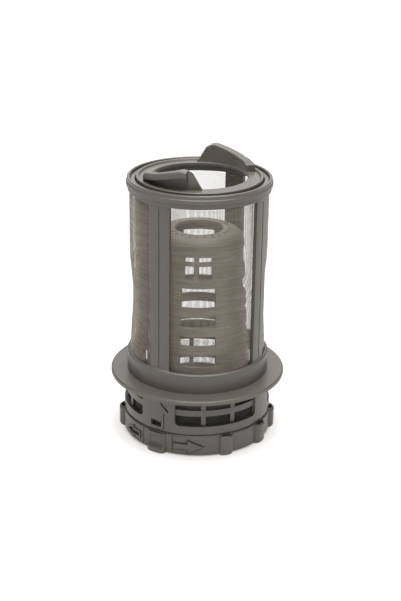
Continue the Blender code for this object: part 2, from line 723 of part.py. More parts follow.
def arrow_block(direction, inner, outer):
    marks = [(ARROW_START, ARROW_SHAFT_HALF), (ARROW_NECK, ARROW_SHAFT_HALF),
             (ARROW_NECK + STEP_SPAN, ARROW_HEAD_HALF)]
    for azimuth in azimuth_steps(ARROW_NECK, ARROW_TIP, 4.5)[1:]:
        share = (ARROW_TIP - azimuth) / (ARROW_TIP - ARROW_NECK)
        marks.append((azimuth, max(0.02, share) * ARROW_HEAD_HALF))
    return [(THUMB_AZIMUTH + direction * azimuth,
             rectangle(inner, outer, ARROW_LEVEL - half, ARROW_LEVEL + half)) for azimuth, half in marks]


def make_scoop(name, radius, centre):
    shape = bmesh.new()
    bmesh.ops.create_uvsphere(shape, u_segments=16, v_segments=10, radius=radius)
    bmesh.ops.translate(shape, verts=shape.verts, vec=centre)
    return add_object(name, mesh_from(name, shape))


def make_twist_ring(material):
    outline = [
        (RING_RADIUS - RING_CHAMFER, RING_HEIGHT),
        (RING_RADIUS, RING_HEIGHT - RING_CHAMFER),
        (RING_RADIUS, 1.5 * RING_CHAMFER),
        (RING_RADIUS - RING_CHAMFER, 0.0),
        (RING_RADIUS - RING_WALL, 0.0),
        (RING_RADIUS - RING_WALL, WEB_UNDER),
        (WEB_HOLE, WEB_UNDER),
        (WEB_HOLE, RING_HEIGHT),
        (NECK_INNER, RING_HEIGHT),
        (NECK_INNER, NECK_TOP),
        (NECK_RADIUS, NECK_TOP),
        (NECK_RADIUS, RING_HEIGHT),
    ]
    ring = turned("twist_ring", outline, ROUND_SEGMENTS, material)

    spacing = (LUG_LAST_AZIMUTH - LUG_FIRST_AZIMUTH) / (LUG_COUNT - 1)
    lugs = [lug_block(THUMB_AZIMUTH, THUMB_DEGREES, THUMB_REACH, 0.0, LUG_TOP, 10)]
    pockets = []
    half = 0.5 * LUG_POCKET_DEGREES
    for i in range(LUG_COUNT):
        middle = LUG_FIRST_AZIMUTH + i * spacing
        lugs.append(lug_block(middle, LUG_DEGREES, LUG_REACH, 0.0, LUG_TOP, 8))
        pockets.append(arc_block(middle - half, middle + half, RING_RADIUS - RING_CHAMFER,
                                 RING_RADIUS + LUG_REACH - LUG_POCKET_WALL,
                                 LUG_TOP - LUG_POCKET_DEPTH, LUG_TOP + BEYOND))
    combine(ring, swept("lugs", lugs), "UNION")
    combine(ring, swept("lug_pockets", pockets), "DIFFERENCE")

    scoop_radius = RING_RADIUS + THUMB_REACH - THUMB_SCOOP_DEPTH + THUMB_SCOOP_RADIUS
    scoop = make_scoop("thumb_scoop", THUMB_SCOOP_RADIUS,
                       place(scoop_radius, THUMB_AZIMUTH, THUMB_SCOOP_LEVEL))
    combine(ring, scoop, "DIFFERENCE")

    half = 0.5 * degrees_of(SEAM_WIDTH, RING_RADIUS)
    seams = [arc_block(THUMB_AZIMUTH + side * SEAM_OFFSET_DEGREES - half,
                       THUMB_AZIMUTH + side * SEAM_OFFSET_DEGREES + half,
                       RING_RADIUS - SEAM_DEPTH, RING_RADIUS + BEYOND, -BEYOND, RING_HEIGHT + BEYOND)
             for side in (-1, 1)]
    combine(ring, swept("ring_seams", seams), "DIFFERENCE")
    raised = arrow_block(1, RING_RADIUS - ARROW_RELIEF, RING_RADIUS + ARROW_RELIEF)
    combine(ring, swept("raised_arrow", [raised]), "UNION")
    sunk = arrow_block(-1, RING_RADIUS - ARROW_RELIEF, RING_RADIUS + BEYOND)
    combine(ring, swept("sunk_arrow", [sunk]), "DIFFERENCE")

    half = 0.5 * TAB_DEGREES
    tabs = [arc_block(TAB_AZIMUTH + side * QUARTER - half, TAB_AZIMUTH + side * QUARTER + half,
                      NECK_RADIUS - 0.5 * NECK_WALL, TAB_RADIUS, TAB_BOTTOM, TAB_TOP)
            for side in range(SIDES)]
    half = 0.5 * NUB_DEGREES
    low = LOCK_BOTTOM + 0.5 * (LOCK_WINDOW_HEIGHT - NUB_HEIGHT)
    tabs.append(arc_block(LATCH_AZIMUTH - half, LATCH_AZIMUTH + half, NECK_RADIUS - 0.5 * NECK_WALL,
                          NECK_RADIUS + NUB_REACH, low, low + NUB_HEIGHT))
    combine(ring, swept("bayonet_tabs", tabs), "UNION")
    finish(ring)


# Coarse cage: a domed, tapered tube with four columns of windows
def cage_radius(z):
    share = (CAGE_SHOULDER - z) / (CAGE_SHOULDER - CAGE_FLANGE_TOP)
    return CAGE_TOP_RADIUS + (CAGE_FOOT_RADIUS - CAGE_TOP_RADIUS) * max(0.0, share)


def cage_outline():
    # The dome's edge is an elliptical quarter round, inside and outside
    rim = CAGE_HOLE_RADIUS + CAGE_RIM_WIDTH
    flat = CAGE_TOP - CAGE_RIM_HEIGHT
    quarter = [math.radians(90.0 * i / 5) for i in range(6)]
    across = CAGE_TOP_RADIUS - rim
    drop = flat - CAGE_SHOULDER
    outer = [(rim + across * math.sin(angle) ** 0.8, CAGE_SHOULDER + drop * math.cos(angle))
             for angle in quarter[1:]]
    inner = [(rim + (across - CAGE_WALL) * math.sin(angle) ** 0.8,
              CAGE_SHOULDER + (drop - CAGE_WALL) * math.cos(angle)) for angle in reversed(quarter[1:])]
    flange = NECK_INNER - CLEARANCE
    spigot_foot = CAGE_SEAT - CAGE_SPIGOT
    return [(rim - EDGE_ROUND, CAGE_TOP), (rim, flat)] + outer + [
        (CAGE_FOOT_RADIUS, CAGE_FLANGE_TOP),
        (flange, CAGE_FLANGE_TOP),
        (flange, CAGE_SEAT),
        (CAGE_FOOT_RADIUS, CAGE_SEAT),
        (CAGE_FOOT_RADIUS, spigot_foot),
        (CAGE_FOOT_RADIUS - CAGE_WALL, spigot_foot),
        (CAGE_FOOT_RADIUS - CAGE_WALL, CAGE_FLANGE_TOP),
    ] + inner + [
        (CAGE_HOLE_RADIUS, flat - CAGE_WALL),
        (CAGE_HOLE_RADIUS, CAGE_TOP - EDGE_ROUND),
        (CAGE_HOLE_RADIUS + EDGE_ROUND, CAGE_TOP),
    ]


def cage_windows():
    blocks = []
    for column in range(CAGE_COLUMNS):
        middle = column * 360.0 / CAGE_COLUMNS
        high = CAGE_TOP - CAGE_TOP_BAND
        for row, height in enumerate(CAGE_ROW_HEIGHTS):
            low = high - height
            inner = cage_radius(high) - CAGE_WALL
            outer = cage_radius(low)
            if row == 0:
                half = 0.5 * CAGE_TOP_WINDOW_DEGREES
                post = 0.5 * CAGE_CROSS_POST_DEGREES
                bar_top = high - CAGE_CROSS_DROP
                for start, end in ((-half, -post), (post, half)):
                    for bottom, top in ((low, bar_top - CAGE_CROSS_BAR), (bar_top, high)):
                        blocks.append(wall_cut(middle + start, middle + end, inner, outer, bottom, top))
            else:
                half = 0.5 * CAGE_WINDOW_DEGREES
                blocks.append(wall_cut(middle - half, middle + half, inner, outer, low, high))
            if row < len(CAGE_RIB_HEIGHTS):
                high = low - CAGE_RIB_HEIGHTS[row]
    return blocks


def make_cage(material):
    cage = turned("inner_cage", cage_outline(), CAGE_SEGMENTS, material)
    combine(cage, swept("cage_windows", cage_windows()), "DIFFERENCE")
    shape = bmesh.new()
    circle = CAGE_HOLE_RADIUS + VENT_CIRCLE
    for i in range(VENT_COUNT):
        made = bmesh.ops.create_cone(shape, cap_ends=True, segments=5, radius1=VENT_RADIUS,
                                     radius2=VENT_RADIUS, depth=4 * CAGE_WALL)
        bmesh.ops.translate(shape, verts=made["verts"],
                            vec=place(circle, (i - 0.23) * 360.0 / VENT_COUNT, CAGE_TOP - CAGE_WALL))
    combine(cage, add_object("vents", mesh_from("vents", shape)), "DIFFERENCE")
    finish(cage)


grey = make_material("grey_polypropylene", (0.23, 0.22, 0.20), 0.45)
light_grey = make_material("light_grey_polypropylene", (0.30, 0.29, 0.27), 0.45)
steel = make_material("stainless_mesh", (0.42, 0.40, 0.37), 0.35, 0.9)

make_frame(grey)
make_upper_mesh(steel)
make_lower_mesh(steel)
make_handle(grey)
make_twist_ring(grey)
make_cage(light_grey)
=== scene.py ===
import math

import bmesh
import bpy
import numpy as np
from mathutils import Matrix, Vector


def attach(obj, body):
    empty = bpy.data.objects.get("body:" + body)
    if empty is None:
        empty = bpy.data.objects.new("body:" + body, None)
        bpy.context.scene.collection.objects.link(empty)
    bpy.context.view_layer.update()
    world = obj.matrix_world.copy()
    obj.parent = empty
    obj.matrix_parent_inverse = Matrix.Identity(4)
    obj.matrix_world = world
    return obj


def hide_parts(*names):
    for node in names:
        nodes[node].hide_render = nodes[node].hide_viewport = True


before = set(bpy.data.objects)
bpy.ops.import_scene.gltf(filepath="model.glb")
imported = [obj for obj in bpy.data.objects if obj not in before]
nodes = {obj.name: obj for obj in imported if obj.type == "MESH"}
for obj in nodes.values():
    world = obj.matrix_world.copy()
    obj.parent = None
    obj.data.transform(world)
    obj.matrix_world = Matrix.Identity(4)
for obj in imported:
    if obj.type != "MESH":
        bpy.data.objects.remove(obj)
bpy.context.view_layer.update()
print("frame loaded:", ", ".join(sorted(nodes)))


# Azimuths are in degrees from the front (-Y) towards the right (+X)
def polar(radius, azimuth, z):
    angle = math.radians(azimuth)
    return (radius * math.sin(angle), -radius * math.cos(angle), z)


def link(tree, fromSocket, toSocket):
    tree.links.new(fromSocket, toSocket)


def addNode(tree, kind, **values):
    made = tree.nodes.new(kind)
    for name, value in values.items():
        setattr(made, name, value)
    return made


def noise(tree, coords, scale, detail, roughness=0.5):
    made = addNode(tree, "ShaderNodeTexNoise")
    made.inputs["Scale"].default_value = scale
    made.inputs["Detail"].default_value = detail
    made.inputs["Roughness"].default_value = roughness
    link(tree, coords, made.inputs["Vector"])
    return made.outputs["Fac"]


def ramp(tree, factor, stops):
    made = addNode(tree, "ShaderNodeValToRGB")
    elements = made.color_ramp.elements
    while len(elements) < len(stops):
        elements.new(0.5)
    for element, (position, colour) in zip(elements, stops):
        element.position = position
        element.color = (*colour, 1.0)
    link(tree, factor, made.inputs["Fac"])
    return made.outputs["Color"]


def spread(colour, amount):
    return tuple(max(0.0, part * amount) for part in colour)


def startMaterial(name):
    material = bpy.data.materials.new(name)
    material.use_nodes = True
    tree = material.node_tree
    coords = addNode(tree, "ShaderNodeTexCoord").outputs["Object"]
    return material, tree, tree.nodes["Principled BSDF"], coords


# What the noises and the rounded edges of every finish are made with
mottleDetail = 5.0
mottleRoughness = 0.6
grainDetail = 3.0
patchDetail = 4.0
streakDetail = 2.0
streakRoughness = 0.7
edgeSamples = 4


# Moulded plastic: faint mottling, a fine satin grain, and edges that catch the light
def makePlastic(settings):
    material, tree, shader, coords = startMaterial(settings["name"])
    mottle = noise(tree, coords, settings["mottleScale"], mottleDetail, mottleRoughness)
    colour = settings["colour"]
    low = spread(colour, 1.0 - settings["mottle"])
    high = spread(colour, 1.0 + settings["mottle"])
    stops = [(settings["mottleLow"], low), (settings["mottleHigh"], high)]
    link(tree, ramp(tree, mottle, stops), shader.inputs["Base Color"])
    rough = addNode(tree, "ShaderNodeMapRange")
    rough.inputs["To Min"].default_value = settings["roughness"] - settings["roughnessFall"]
    rough.inputs["To Max"].default_value = settings["roughness"] + settings["roughnessRise"]
    link(tree, mottle, rough.inputs["Value"])
    link(tree, rough.outputs["Result"], shader.inputs["Roughness"])
    shader.inputs["Specular IOR Level"].default_value = settings["specular"]
    rounded = addNode(tree, "ShaderNodeBevel", samples=edgeSamples)
    rounded.inputs["Radius"].default_value = settings["edgeRadius"]
    bump = addNode(tree, "ShaderNodeBump")
    bump.inputs["Strength"].default_value = settings["grain"]
    bump.inputs["Distance"].default_value = settings["grainHeight"]
    link(tree, noise(tree, coords, settings["grainScale"], grainDetail), bump.inputs["Height"])
    link(tree, rounded.outputs["Normal"], bump.inputs["Normal"])
    link(tree, bump.outputs["Normal"], shader.inputs["Normal"])
    return material


# Woven wire: slightly uneven metal, darker where it has dulled, with streaks round the sleeve
def makeWire(settings):
    material, tree, shader, coords = startMaterial(settings["name"])
    patch = noise(tree, coords, settings["patchScale"], patchDetail)
    patchStops = [(settings["patchLow"], settings["dullColour"]),
                  (settings["patchHigh"], settings["colour"])]
    stretch = addNode(tree, "ShaderNodeMapping")
    stretch.inputs["Scale"].default_value = settings["streakStretch"]
    link(tree, coords, stretch.inputs["Vector"])
    streak = noise(tree, stretch.outputs["Vector"], settings["streakScale"], streakDetail,
                   streakRoughness)
    streakStops = [(settings["streakLow"], settings["streakDark"]),
                   (settings["streakHigh"], settings["streakLight"])]
    mixed = addNode(tree, "ShaderNodeMix", data_type="RGBA", blend_type="MULTIPLY")
    mixed.inputs["Factor"].default_value = 1.0
    link(tree, ramp(tree, patch, patchStops), mixed.inputs["A"])
    link(tree, ramp(tree, streak, streakStops), mixed.inputs["B"])
    link(tree, mixed.outputs["Result"], shader.inputs["Base Color"])
    shader.inputs["Metallic"].default_value = settings["metallic"]
    shader.inputs["Roughness"].default_value = settings["roughness"]
    return material


frameFinish = {
    "name": "frameGrey", "colour": (0.101, 0.092, 0.077),
    "mottle": 0.05,                 # share by which the colour swings either way
    "mottleScale": 60.0, "mottleLow": 0.3, "mottleHigh": 0.7,
    "roughness": 0.38, "roughnessFall": 0.06, "roughnessRise": 0.08, "specular": 0.5,
    "edgeRadius": 0.00022,          # highlight on the edges only, the shape stays sharp
    "grain": 0.25, "grainScale": 2500.0, "grainHeight": 0.00005,
}
handleFinish = dict(frameFinish, name="handleGrey", colour=(0.104, 0.095, 0.080))
ringFinish = dict(frameFinish, name="ringGrey", colour=(0.094, 0.086, 0.073))
cageFinish = dict(frameFinish, name="cageGrey", colour=(0.178, 0.157, 0.127), roughness=0.5)
wireFinish = {
    "name": "wireGrey", "colour": (0.53, 0.475, 0.405), "dullColour": (0.45, 0.40, 0.336),
    "patchScale": 90.0, "patchLow": 0.35, "patchHigh": 0.65, "metallic": 0.2, "roughness": 0.5,
    "streakStretch": (0.05, 0.05, 1.0), "streakScale": 1500.0,
    "streakLow": 0.38, "streakDark": (0.66, 0.645, 0.625),
    "streakHigh": 0.62, "streakLight": (1.0, 1.0, 1.0),
}
# The lower band is the same wire painted far darker and bluer: painted shade for its place under
# the flange, behind the skirt's grilles
paintedShadeWireFinish = dict(wireFinish, name="lowerWirePaintedShade", colour=(0.10, 0.102, 0.112),
                       dullColour=(0.075, 0.077, 0.086))


def dress(node, material):
    worn = nodes[node].data.materials
    if len(worn):
        for index in range(len(worn)):
            worn[index] = material
    else:
        worn.append(material)


dress("outer_frame", makePlastic(frameFinish))
dress("handle_ring", makePlastic(handleFinish))
dress("twist_ring", makePlastic(ringFinish))
dress("inner_cage", makePlastic(cageFinish))
dress("upper_mesh", makeWire(wireFinish))
dress("lower_mesh", makeWire(paintedShadeWireFinish))
print("plastics and wire made")


# What all the mouldings share
clearance = 0.0003              # gap between pieces that touch
runningGap = 0.0006             # neck of the twist ring inside the skirt
edgeRound = 0.0003
ringHeight = 0.0106             # foot of the filter
sides = 4                       # posts, skirt windows and bayonet tabs
quarter = 360.0 / sides
roundSegments = 144
cageSegments = 120
blockStep = 2.5                 # largest step of a swept block, in degrees
cutterStep = 24.0               # and of a cutter that reaches past its wall
cornerSteps = 8
lugSteps = 18
thumbSteps = 30
flatDegrees = 0.2               # faces that meet at less than this become one
sharpDegrees = 32.0             # edges that are steeper than this are drawn sharp
mergeDistance = 0.00001
beyond = 0.0040                 # how far a cutter reaches past the wall that it cuts
stepSpan = 0.02                 # degrees taken by a square step in a swept block


def addObject(name, data):
    made = bpy.data.objects.new(name, data)
    bpy.context.scene.collection.objects.link(made)
    return made


def meshFrom(name, shape):
    bmesh.ops.recalc_face_normals(shape, faces=shape.faces)
    mesh = bpy.data.meshes.new(name)
    shape.to_mesh(mesh)
    shape.free()
    return mesh


def degreesOf(length, radius):
    return math.degrees(length / radius)


def onEachSide(azimuth):
    return [azimuth + side * quarter for side in range(sides)]


# Turned pieces: the outline runs down its outer side and back up the inner one
def turned(name, outline, segments):
    count = len(outline)
    mesh = bpy.data.meshes.new(name)
    corners = [(radius, 0.0, z) for radius, z in outline]
    mesh.from_pydata(corners, [(i, (i + 1) % count) for i in range(count)], [])
    made = addObject(name, mesh)
    screw = made.modifiers.new("turn", "SCREW")
    screw.angle = math.tau
    screw.steps = screw.render_steps = segments
    screw.use_merge_vertices = True
    screw.merge_threshold = mergeDistance
    return made


# Blocks swept round the axis: each station is an azimuth and a section of (radius, z)
def addSweep(shape, stations):
    loops = []
    for azimuth, section in stations:
        loops.append([shape.verts.new(polar(radius, azimuth, z)) for radius, z in section])
    for here, there in zip(loops, loops[1:]):
        for i in range(len(here)):
            j = (i + 1) % len(here)
            shape.faces.new((here[i], here[j], there[j], there[i]))
    shape.faces.new(loops[0])
    shape.faces.new(loops[-1])


def swept(name, blocks):
    shape = bmesh.new()
    for stations in blocks:
        addSweep(shape, stations)
    return addObject(name, meshFrom(name, shape))


def rectangle(inner, outer, low, high):
    return [(inner, low), (outer, low), (outer, high), (inner, high)]


def azimuthSteps(start, end, step=blockStep):
    count = max(1, math.ceil(abs(end - start) / step))
    return [start + (end - start) * i / count for i in range(count + 1)]


def arcBlock(start, end, inner, outer, low, high, step=blockStep):
    section = rectangle(inner, outer, low, high)
    return [(azimuth, section) for azimuth in azimuthSteps(start, end, step)]


def wallCut(start, end, inner, outer, low, high):
    return arcBlock(start, end, inner - beyond, outer + beyond, low, high, cutterStep)


def combine(target, operand, operation):
    joined = target.modifiers.new(operand.name, "BOOLEAN")
    joined.operation = operation
    joined.object = operand
    joined.solver = "EXACT"


def cut(target, name, blocks):
    combine(target, swept(name, blocks), "DIFFERENCE")


def join(target, name, blocks):
    combine(target, swept(name, blocks), "UNION")


def finish(piece, node, body):
    # Freeze the cuts, drop the cutters, shade round faces smooth and keep the edges sharp
    cutters = [step.object for step in piece.modifiers if step.type == "BOOLEAN"]
    flat = piece.modifiers.new("flatFaces", "DECIMATE")
    flat.decimate_type = "DISSOLVE"
    flat.angle_limit = math.radians(flatDegrees)
    bpy.context.view_layer.update()
    seen = piece.evaluated_get(bpy.context.evaluated_depsgraph_get())
    mesh = bpy.data.meshes.new_from_object(seen)
    piece.modifiers.clear()
    piece.data = mesh
    for cutter in cutters:
        bpy.data.objects.remove(cutter, do_unlink=True)
    mesh.shade_smooth()
    mesh.set_sharp_from_angle(angle=math.radians(sharpDegrees))
    mesh.materials.clear()
    mesh.materials.append(nodes[node].data.materials[0])
    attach(piece, body)
    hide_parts(node)
    mesh.calc_loop_triangles()
    print(piece.name, "moulded:", len(mesh.loop_triangles), "triangles")


# Outer frame: rim, posts, collar, flange and skirt are one moulding
mould = {
    "skirtHeight": 0.0200,              # slotted skirt under the flange
    "flangeThickness": 0.0011,
    "collarHeight": 0.0097,             # upstand above the flange
    "openHeight": 0.0814,               # mesh windows, from the collar to the rim
    "rimHeight": 0.0067,
    "tubeRadius": 0.0334,               # outside of the four posts
    "tubeWall": 0.0018,
    "collarStep": 0.0014,               # collar outside the posts
    "collarWall": 0.0014,
    "collarFillet": 0.0006,             # from the collar up to a post
    "flangeWidth": 0.0082,              # flange outside the collar
    "flangeBeadWidth": 0.0015,          # edge of the flange, turned down
    "flangeBeadDrop": 0.0012,
    "skirtStep": 0.0030,                # skirt outside the posts
    "skirtWall": 0.0020,
    "rimOverhang": 0.00145,             # bead of the rim outside the posts
    "beadHeight": 0.0020,
    "bandStep": 0.0007,                 # band under the bead, set back from it
    "lipWidth": 0.0014,                 # raised outer lip of the rim
    "lipHeight": 0.0012,
    "grooveWidth": 0.00226,             # recess between the lip and the handle ring
    "notchWidth": 0.0005, "notchDepth": 0.0006,     # along the foot of the lip
    "ledgeWidth": 0.0014,               # inner ledge that carries the handle ring
    "ledgeThickness": 0.0012,
    "postAzimuths": (-33.0, 62.5, 147.0, 240.3),
    "postDegrees": 18.6,
    "postScoreWidth": 0.0007,           # line down the middle of a post
    "postScoreDepth": 0.0003,
    "postScoreMargin": 0.0012,          # from its ends to the collar and the rim
    "sillHeight": 0.0003,               # inner edge left standing on the collar
    "pocketInset": 0.8,                 # degrees from a post to the pocket for the mesh's foot
    "pocketHeight": 0.0012,             # above the collar
}

skirt = {
    "windowAzimuth": 17.4, "windowDegrees": 68.2,
    "windowSill": 0.00455,              # above the skirt's lower edge
    "windowHead": 0.0003,               # below the flange
    "windowRound": 0.0022, "grilleSetback": 0.0011,
    "grilleRailLow": 0.00495,           # above the window's sill
    "grilleRailHeight": 0.00315, "grilleBarWidth": 0.0023, "grilleColumns": 3,
    "grilleSunk": 0.0006,               # how far the bars run into the sill
    "latchAzimuth": -32.7, "latchPillarDegrees": 27.0, "lockWindowDegrees": 9.4,
    "lockWindowLow": 0.0021, "lockWindowHeight": 0.0031, "tongueSlitAzimuth": -25.6,
    "tongueSlitWidth": 0.0005, "tongueSlitDepth": 0.0007, "tongueSlitLow": 0.0014,
    "tongueSlitHeight": 0.0080,
    "tongueSlotStart": -28.6,           # slanted slot above the slit
    "tongueSlotEnd": -22.2, "tongueSlotTop": 0.0159, "tongueSlotFall": 0.0044,
    "tongueSlotWidth": 0.0015,
}

# Where the foot locks into the skirt
bayonet = {
    "twistDegrees": 30.0, "azimuth": 40.0, "degrees": 14.0,
    "reach": 0.0009,                    # beyond the skirt's inner face
    "low": 0.0016,                      # above the skirt's lower edge
    "height": 0.0016,
}

skirtBottom = ringHeight + clearance
flangeUnder = skirtBottom + mould["skirtHeight"]
flangeBeadUnder = flangeUnder - mould["flangeBeadDrop"]
flangeTop = flangeUnder + mould["flangeThickness"]
collarTop = flangeTop + mould["collarHeight"]
rimUnder = collarTop + mould["openHeight"]
rimTop = rimUnder + mould["rimHeight"]
meshHead = rimUnder + 0.5 * edgeRound

tubeInner = mould["tubeRadius"] - mould["tubeWall"]
collarRadius = mould["tubeRadius"] + mould["collarStep"]
collarInner = collarRadius - mould["collarWall"]
flangeRadius = collarRadius + mould["flangeWidth"]
skirtRadius = mould["tubeRadius"] + mould["skirtStep"]
skirtInner = skirtRadius - mould["skirtWall"]
rimRadius = mould["tubeRadius"] + mould["rimOverhang"]
lipOuter = rimRadius - 1.5 * edgeRound
lipInner = lipOuter - mould["lipWidth"]
rimBore = lipInner - mould["grooveWidth"]
rimLedgeInner = rimBore - mould["ledgeWidth"]
grooveFloor = rimTop - mould["lipHeight"]
beadTop = rimTop - mould["beadHeight"]
ledgeTop = rimUnder + 2 * mould["ledgeThickness"]

tabBottom = skirtBottom + bayonet["low"]
tabTop = tabBottom + bayonet["height"]
tabRadius = skirtInner + bayonet["reach"]
lockBottom = skirtBottom + skirt["lockWindowLow"]
windowSill = skirtBottom + skirt["windowSill"]
windowHead = flangeUnder - skirt["windowHead"]
railLow = windowSill + skirt["grilleRailLow"]
railTop = railLow + skirt["grilleRailHeight"]
grilleRadius = skirtRadius - skirt["grilleSetback"]

halfPost = 0.5 * mould["postDegrees"]
nextAzimuths = mould["postAzimuths"][1:] + (mould["postAzimuths"][0] + 360.0,)
panels = [(left + halfPost, right - halfPost)
          for left, right in zip(mould["postAzimuths"], nextAzimuths)]


def frameOutline():
    beadUnder = beadTop - mould["beadHeight"]
    band = rimRadius - mould["bandStep"]
    flangeBead = flangeRadius - mould["flangeBeadWidth"]
    ledgeUnder = ledgeTop - mould["ledgeThickness"]
    notch = lipInner - mould["notchWidth"]
    notchFloor = grooveFloor - mould["notchDepth"]
    return [
        (lipOuter - edgeRound, rimTop),
        (lipOuter, rimTop - edgeRound),
        (lipOuter, beadTop + edgeRound),
        (rimRadius, beadTop - 0.5 * edgeRound),
        (rimRadius, beadUnder + edgeRound),
        (rimRadius - edgeRound, beadUnder),
        (band, beadUnder),
        (band, rimUnder + mould["bandStep"]),
        (mould["tubeRadius"], rimUnder),
        (mould["tubeRadius"], collarTop + mould["collarFillet"]),
        (collarRadius - edgeRound, collarTop),
        (collarRadius, collarTop - edgeRound),
        (collarRadius, flangeTop),
        (flangeRadius - 2 * edgeRound, flangeTop),
        (flangeRadius, flangeTop - 2 * edgeRound),
        (flangeRadius, flangeBeadUnder + edgeRound),
        (flangeRadius - edgeRound, flangeBeadUnder),
        (flangeBead, flangeBeadUnder),
        (flangeBead, flangeUnder),
        (skirtRadius, flangeUnder),
        (skirtRadius, skirtBottom + edgeRound),
        (skirtRadius - edgeRound, skirtBottom),
        (skirtInner, skirtBottom),
        (skirtInner, flangeUnder),
        (tubeInner, flangeUnder + edgeRound),
        (tubeInner, ledgeUnder),
        (rimLedgeInner, ledgeUnder),
        (rimLedgeInner, ledgeTop),
        (rimBore, ledgeTop),
        (rimBore, grooveFloor),
        (notch, grooveFloor),
        (notch, notchFloor),
        (lipInner, notchFloor),
        (lipInner, rimTop - edgeRound),
        (lipInner + edgeRound, rimTop),
    ]


def roundedWindow(start, end, inner, outer, low, high, radius):
    # The two lower corners are quarter circles
    turn = degreesOf(radius, outer)

    def corner(edge, inwards, degrees):
        angle = math.radians(degrees)
        azimuth = edge + inwards * turn * (1.0 - math.cos(angle))
        level = low + radius * (1.0 - math.sin(angle))
        return azimuth, rectangle(inner, outer, level, high)

    left = [corner(start, 1, 90.0 * i / cornerSteps) for i in range(cornerSteps + 1)]
    flat = [(azimuth, rectangle(inner, outer, low, high))
            for azimuth in azimuthSteps(start + turn, end - turn, cutterStep)[1:-1]]
    right = [corner(end, -1, 90.0 - 90.0 * i / cornerSteps) for i in range(cornerSteps + 1)]
    return left + flat + right


def skirtWindows():
    # The window left of the snap tongue is shorter, because its pillar is wider
    half = 0.5 * skirt["windowDegrees"]
    pillarStart = skirt["latchAzimuth"] - 0.5 * skirt["latchPillarDegrees"] + 360.0
    return [(middle - half, min(middle + half, pillarStart))
            for middle in onEachSide(skirt["windowAzimuth"])]


def grilles():
    # One rail and two upright bars in each window, a little behind the pillars
    inner = skirtInner + edgeRound
    bar = degreesOf(skirt["grilleBarWidth"], grilleRadius)
    sunk = 0.5 * bar
    rails = []
    bars = []
    for start, end in skirtWindows():
        rails.append(arcBlock(start - sunk, end + sunk, inner, grilleRadius, railLow, railTop))
        pitch = (end - start + bar) / skirt["grilleColumns"]
        for column in range(1, skirt["grilleColumns"]):
            right = start + column * pitch
            bars.append(arcBlock(right - bar, right,
                                 inner + 0.5 * edgeRound, grilleRadius - 0.5 * edgeRound,
                                 windowSill - skirt["grilleSunk"],
                                 windowHead + 0.5 * skirt["windowHead"]))
    return rails, bars


def bayonetGrooves():
    # A tab enters from below at one end and is locked at the other
    play = degreesOf(clearance, tabRadius)
    inner = skirtInner - beyond
    outer = tabRadius + clearance
    top = tabTop + clearance
    entry = rectangle(inner, outer, skirtBottom - beyond, top)
    track = rectangle(inner, outer, tabBottom - clearance, top)
    grooves = []
    for middle in onEachSide(bayonet["azimuth"]):
        last = middle + 0.5 * bayonet["degrees"] + play
        first = last - bayonet["degrees"] - bayonet["twistDegrees"] - 2 * play
        entryEnd = first + bayonet["degrees"] + 2 * play
        stations = [(azimuth, entry) for azimuth in azimuthSteps(first, entryEnd)]
        stations += [(azimuth, track) for azimuth in azimuthSteps(entryEnd + stepSpan, last)]
        grooves.append(stations)
    return grooves


def latchCuts():
    half = 0.5 * skirt["lockWindowDegrees"]
    inner = skirtInner - beyond
    outer = skirtRadius + beyond
    lock = wallCut(skirt["latchAzimuth"] - half, skirt["latchAzimuth"] + half,
                   skirtInner, skirtRadius, lockBottom, lockBottom + skirt["lockWindowHeight"])
    half = 0.5 * degreesOf(skirt["tongueSlitWidth"], skirtRadius)
    low = skirtBottom + skirt["tongueSlitLow"]
    slit = arcBlock(skirt["tongueSlitAzimuth"] - half, skirt["tongueSlitAzimuth"] + half,
                    skirtRadius - skirt["tongueSlitDepth"], outer,
                    low, low + skirt["tongueSlitHeight"])
    width = skirt["tongueSlotWidth"]
    high = skirtBottom + skirt["tongueSlotTop"]
    fallen = high - skirt["tongueSlotFall"]
    slot = [(skirt["tongueSlotStart"], rectangle(inner, outer, high - width, high)),
            (skirt["tongueSlotEnd"], rectangle(inner, outer, fallen - width, fallen))]
    return [lock, slit, slot]


def makeFrame():
    moulding = turned("frameMoulding", frameOutline(), roundSegments)
    tube = mould["tubeRadius"]
    windows = [wallCut(start, end, tubeInner, tube, collarTop + mould["sillHeight"], meshHead)
               for start, end in panels]
    # The mesh's foot hangs in a pocket that is open below, behind the collar
    pockets = [arcBlock(start + mould["pocketInset"], end - mould["pocketInset"],
                        tubeInner - beyond, collarInner,
                        flangeUnder - beyond, collarTop + mould["pocketHeight"])
               for start, end in panels]
    half = 0.5 * degreesOf(mould["postScoreWidth"], tube)
    scores = [arcBlock(middle - half, middle + half, tube - mould["postScoreDepth"], tube + beyond,
                       collarTop + mould["postScoreMargin"], rimUnder - mould["postScoreMargin"])
              for middle in mould["postAzimuths"]]
    openings = [roundedWindow(start, end, skirtInner - beyond, skirtRadius + beyond,
                              windowSill, windowHead, skirt["windowRound"])
                for start, end in skirtWindows()]
    rails, bars = grilles()
    cut(moulding, "meshWindows", windows)
    cut(moulding, "meshPockets", pockets)
    cut(moulding, "postScores", scores)
    cut(moulding, "skirtWindows", openings)
    join(moulding, "grilleRails", rails)
    join(moulding, "grilleBars", bars)
    cut(moulding, "bayonetGrooves", bayonetGrooves())
    cut(moulding, "latchCuts", latchCuts())
    finish(moulding, "outer_frame", "filter_body")


makeFrame()

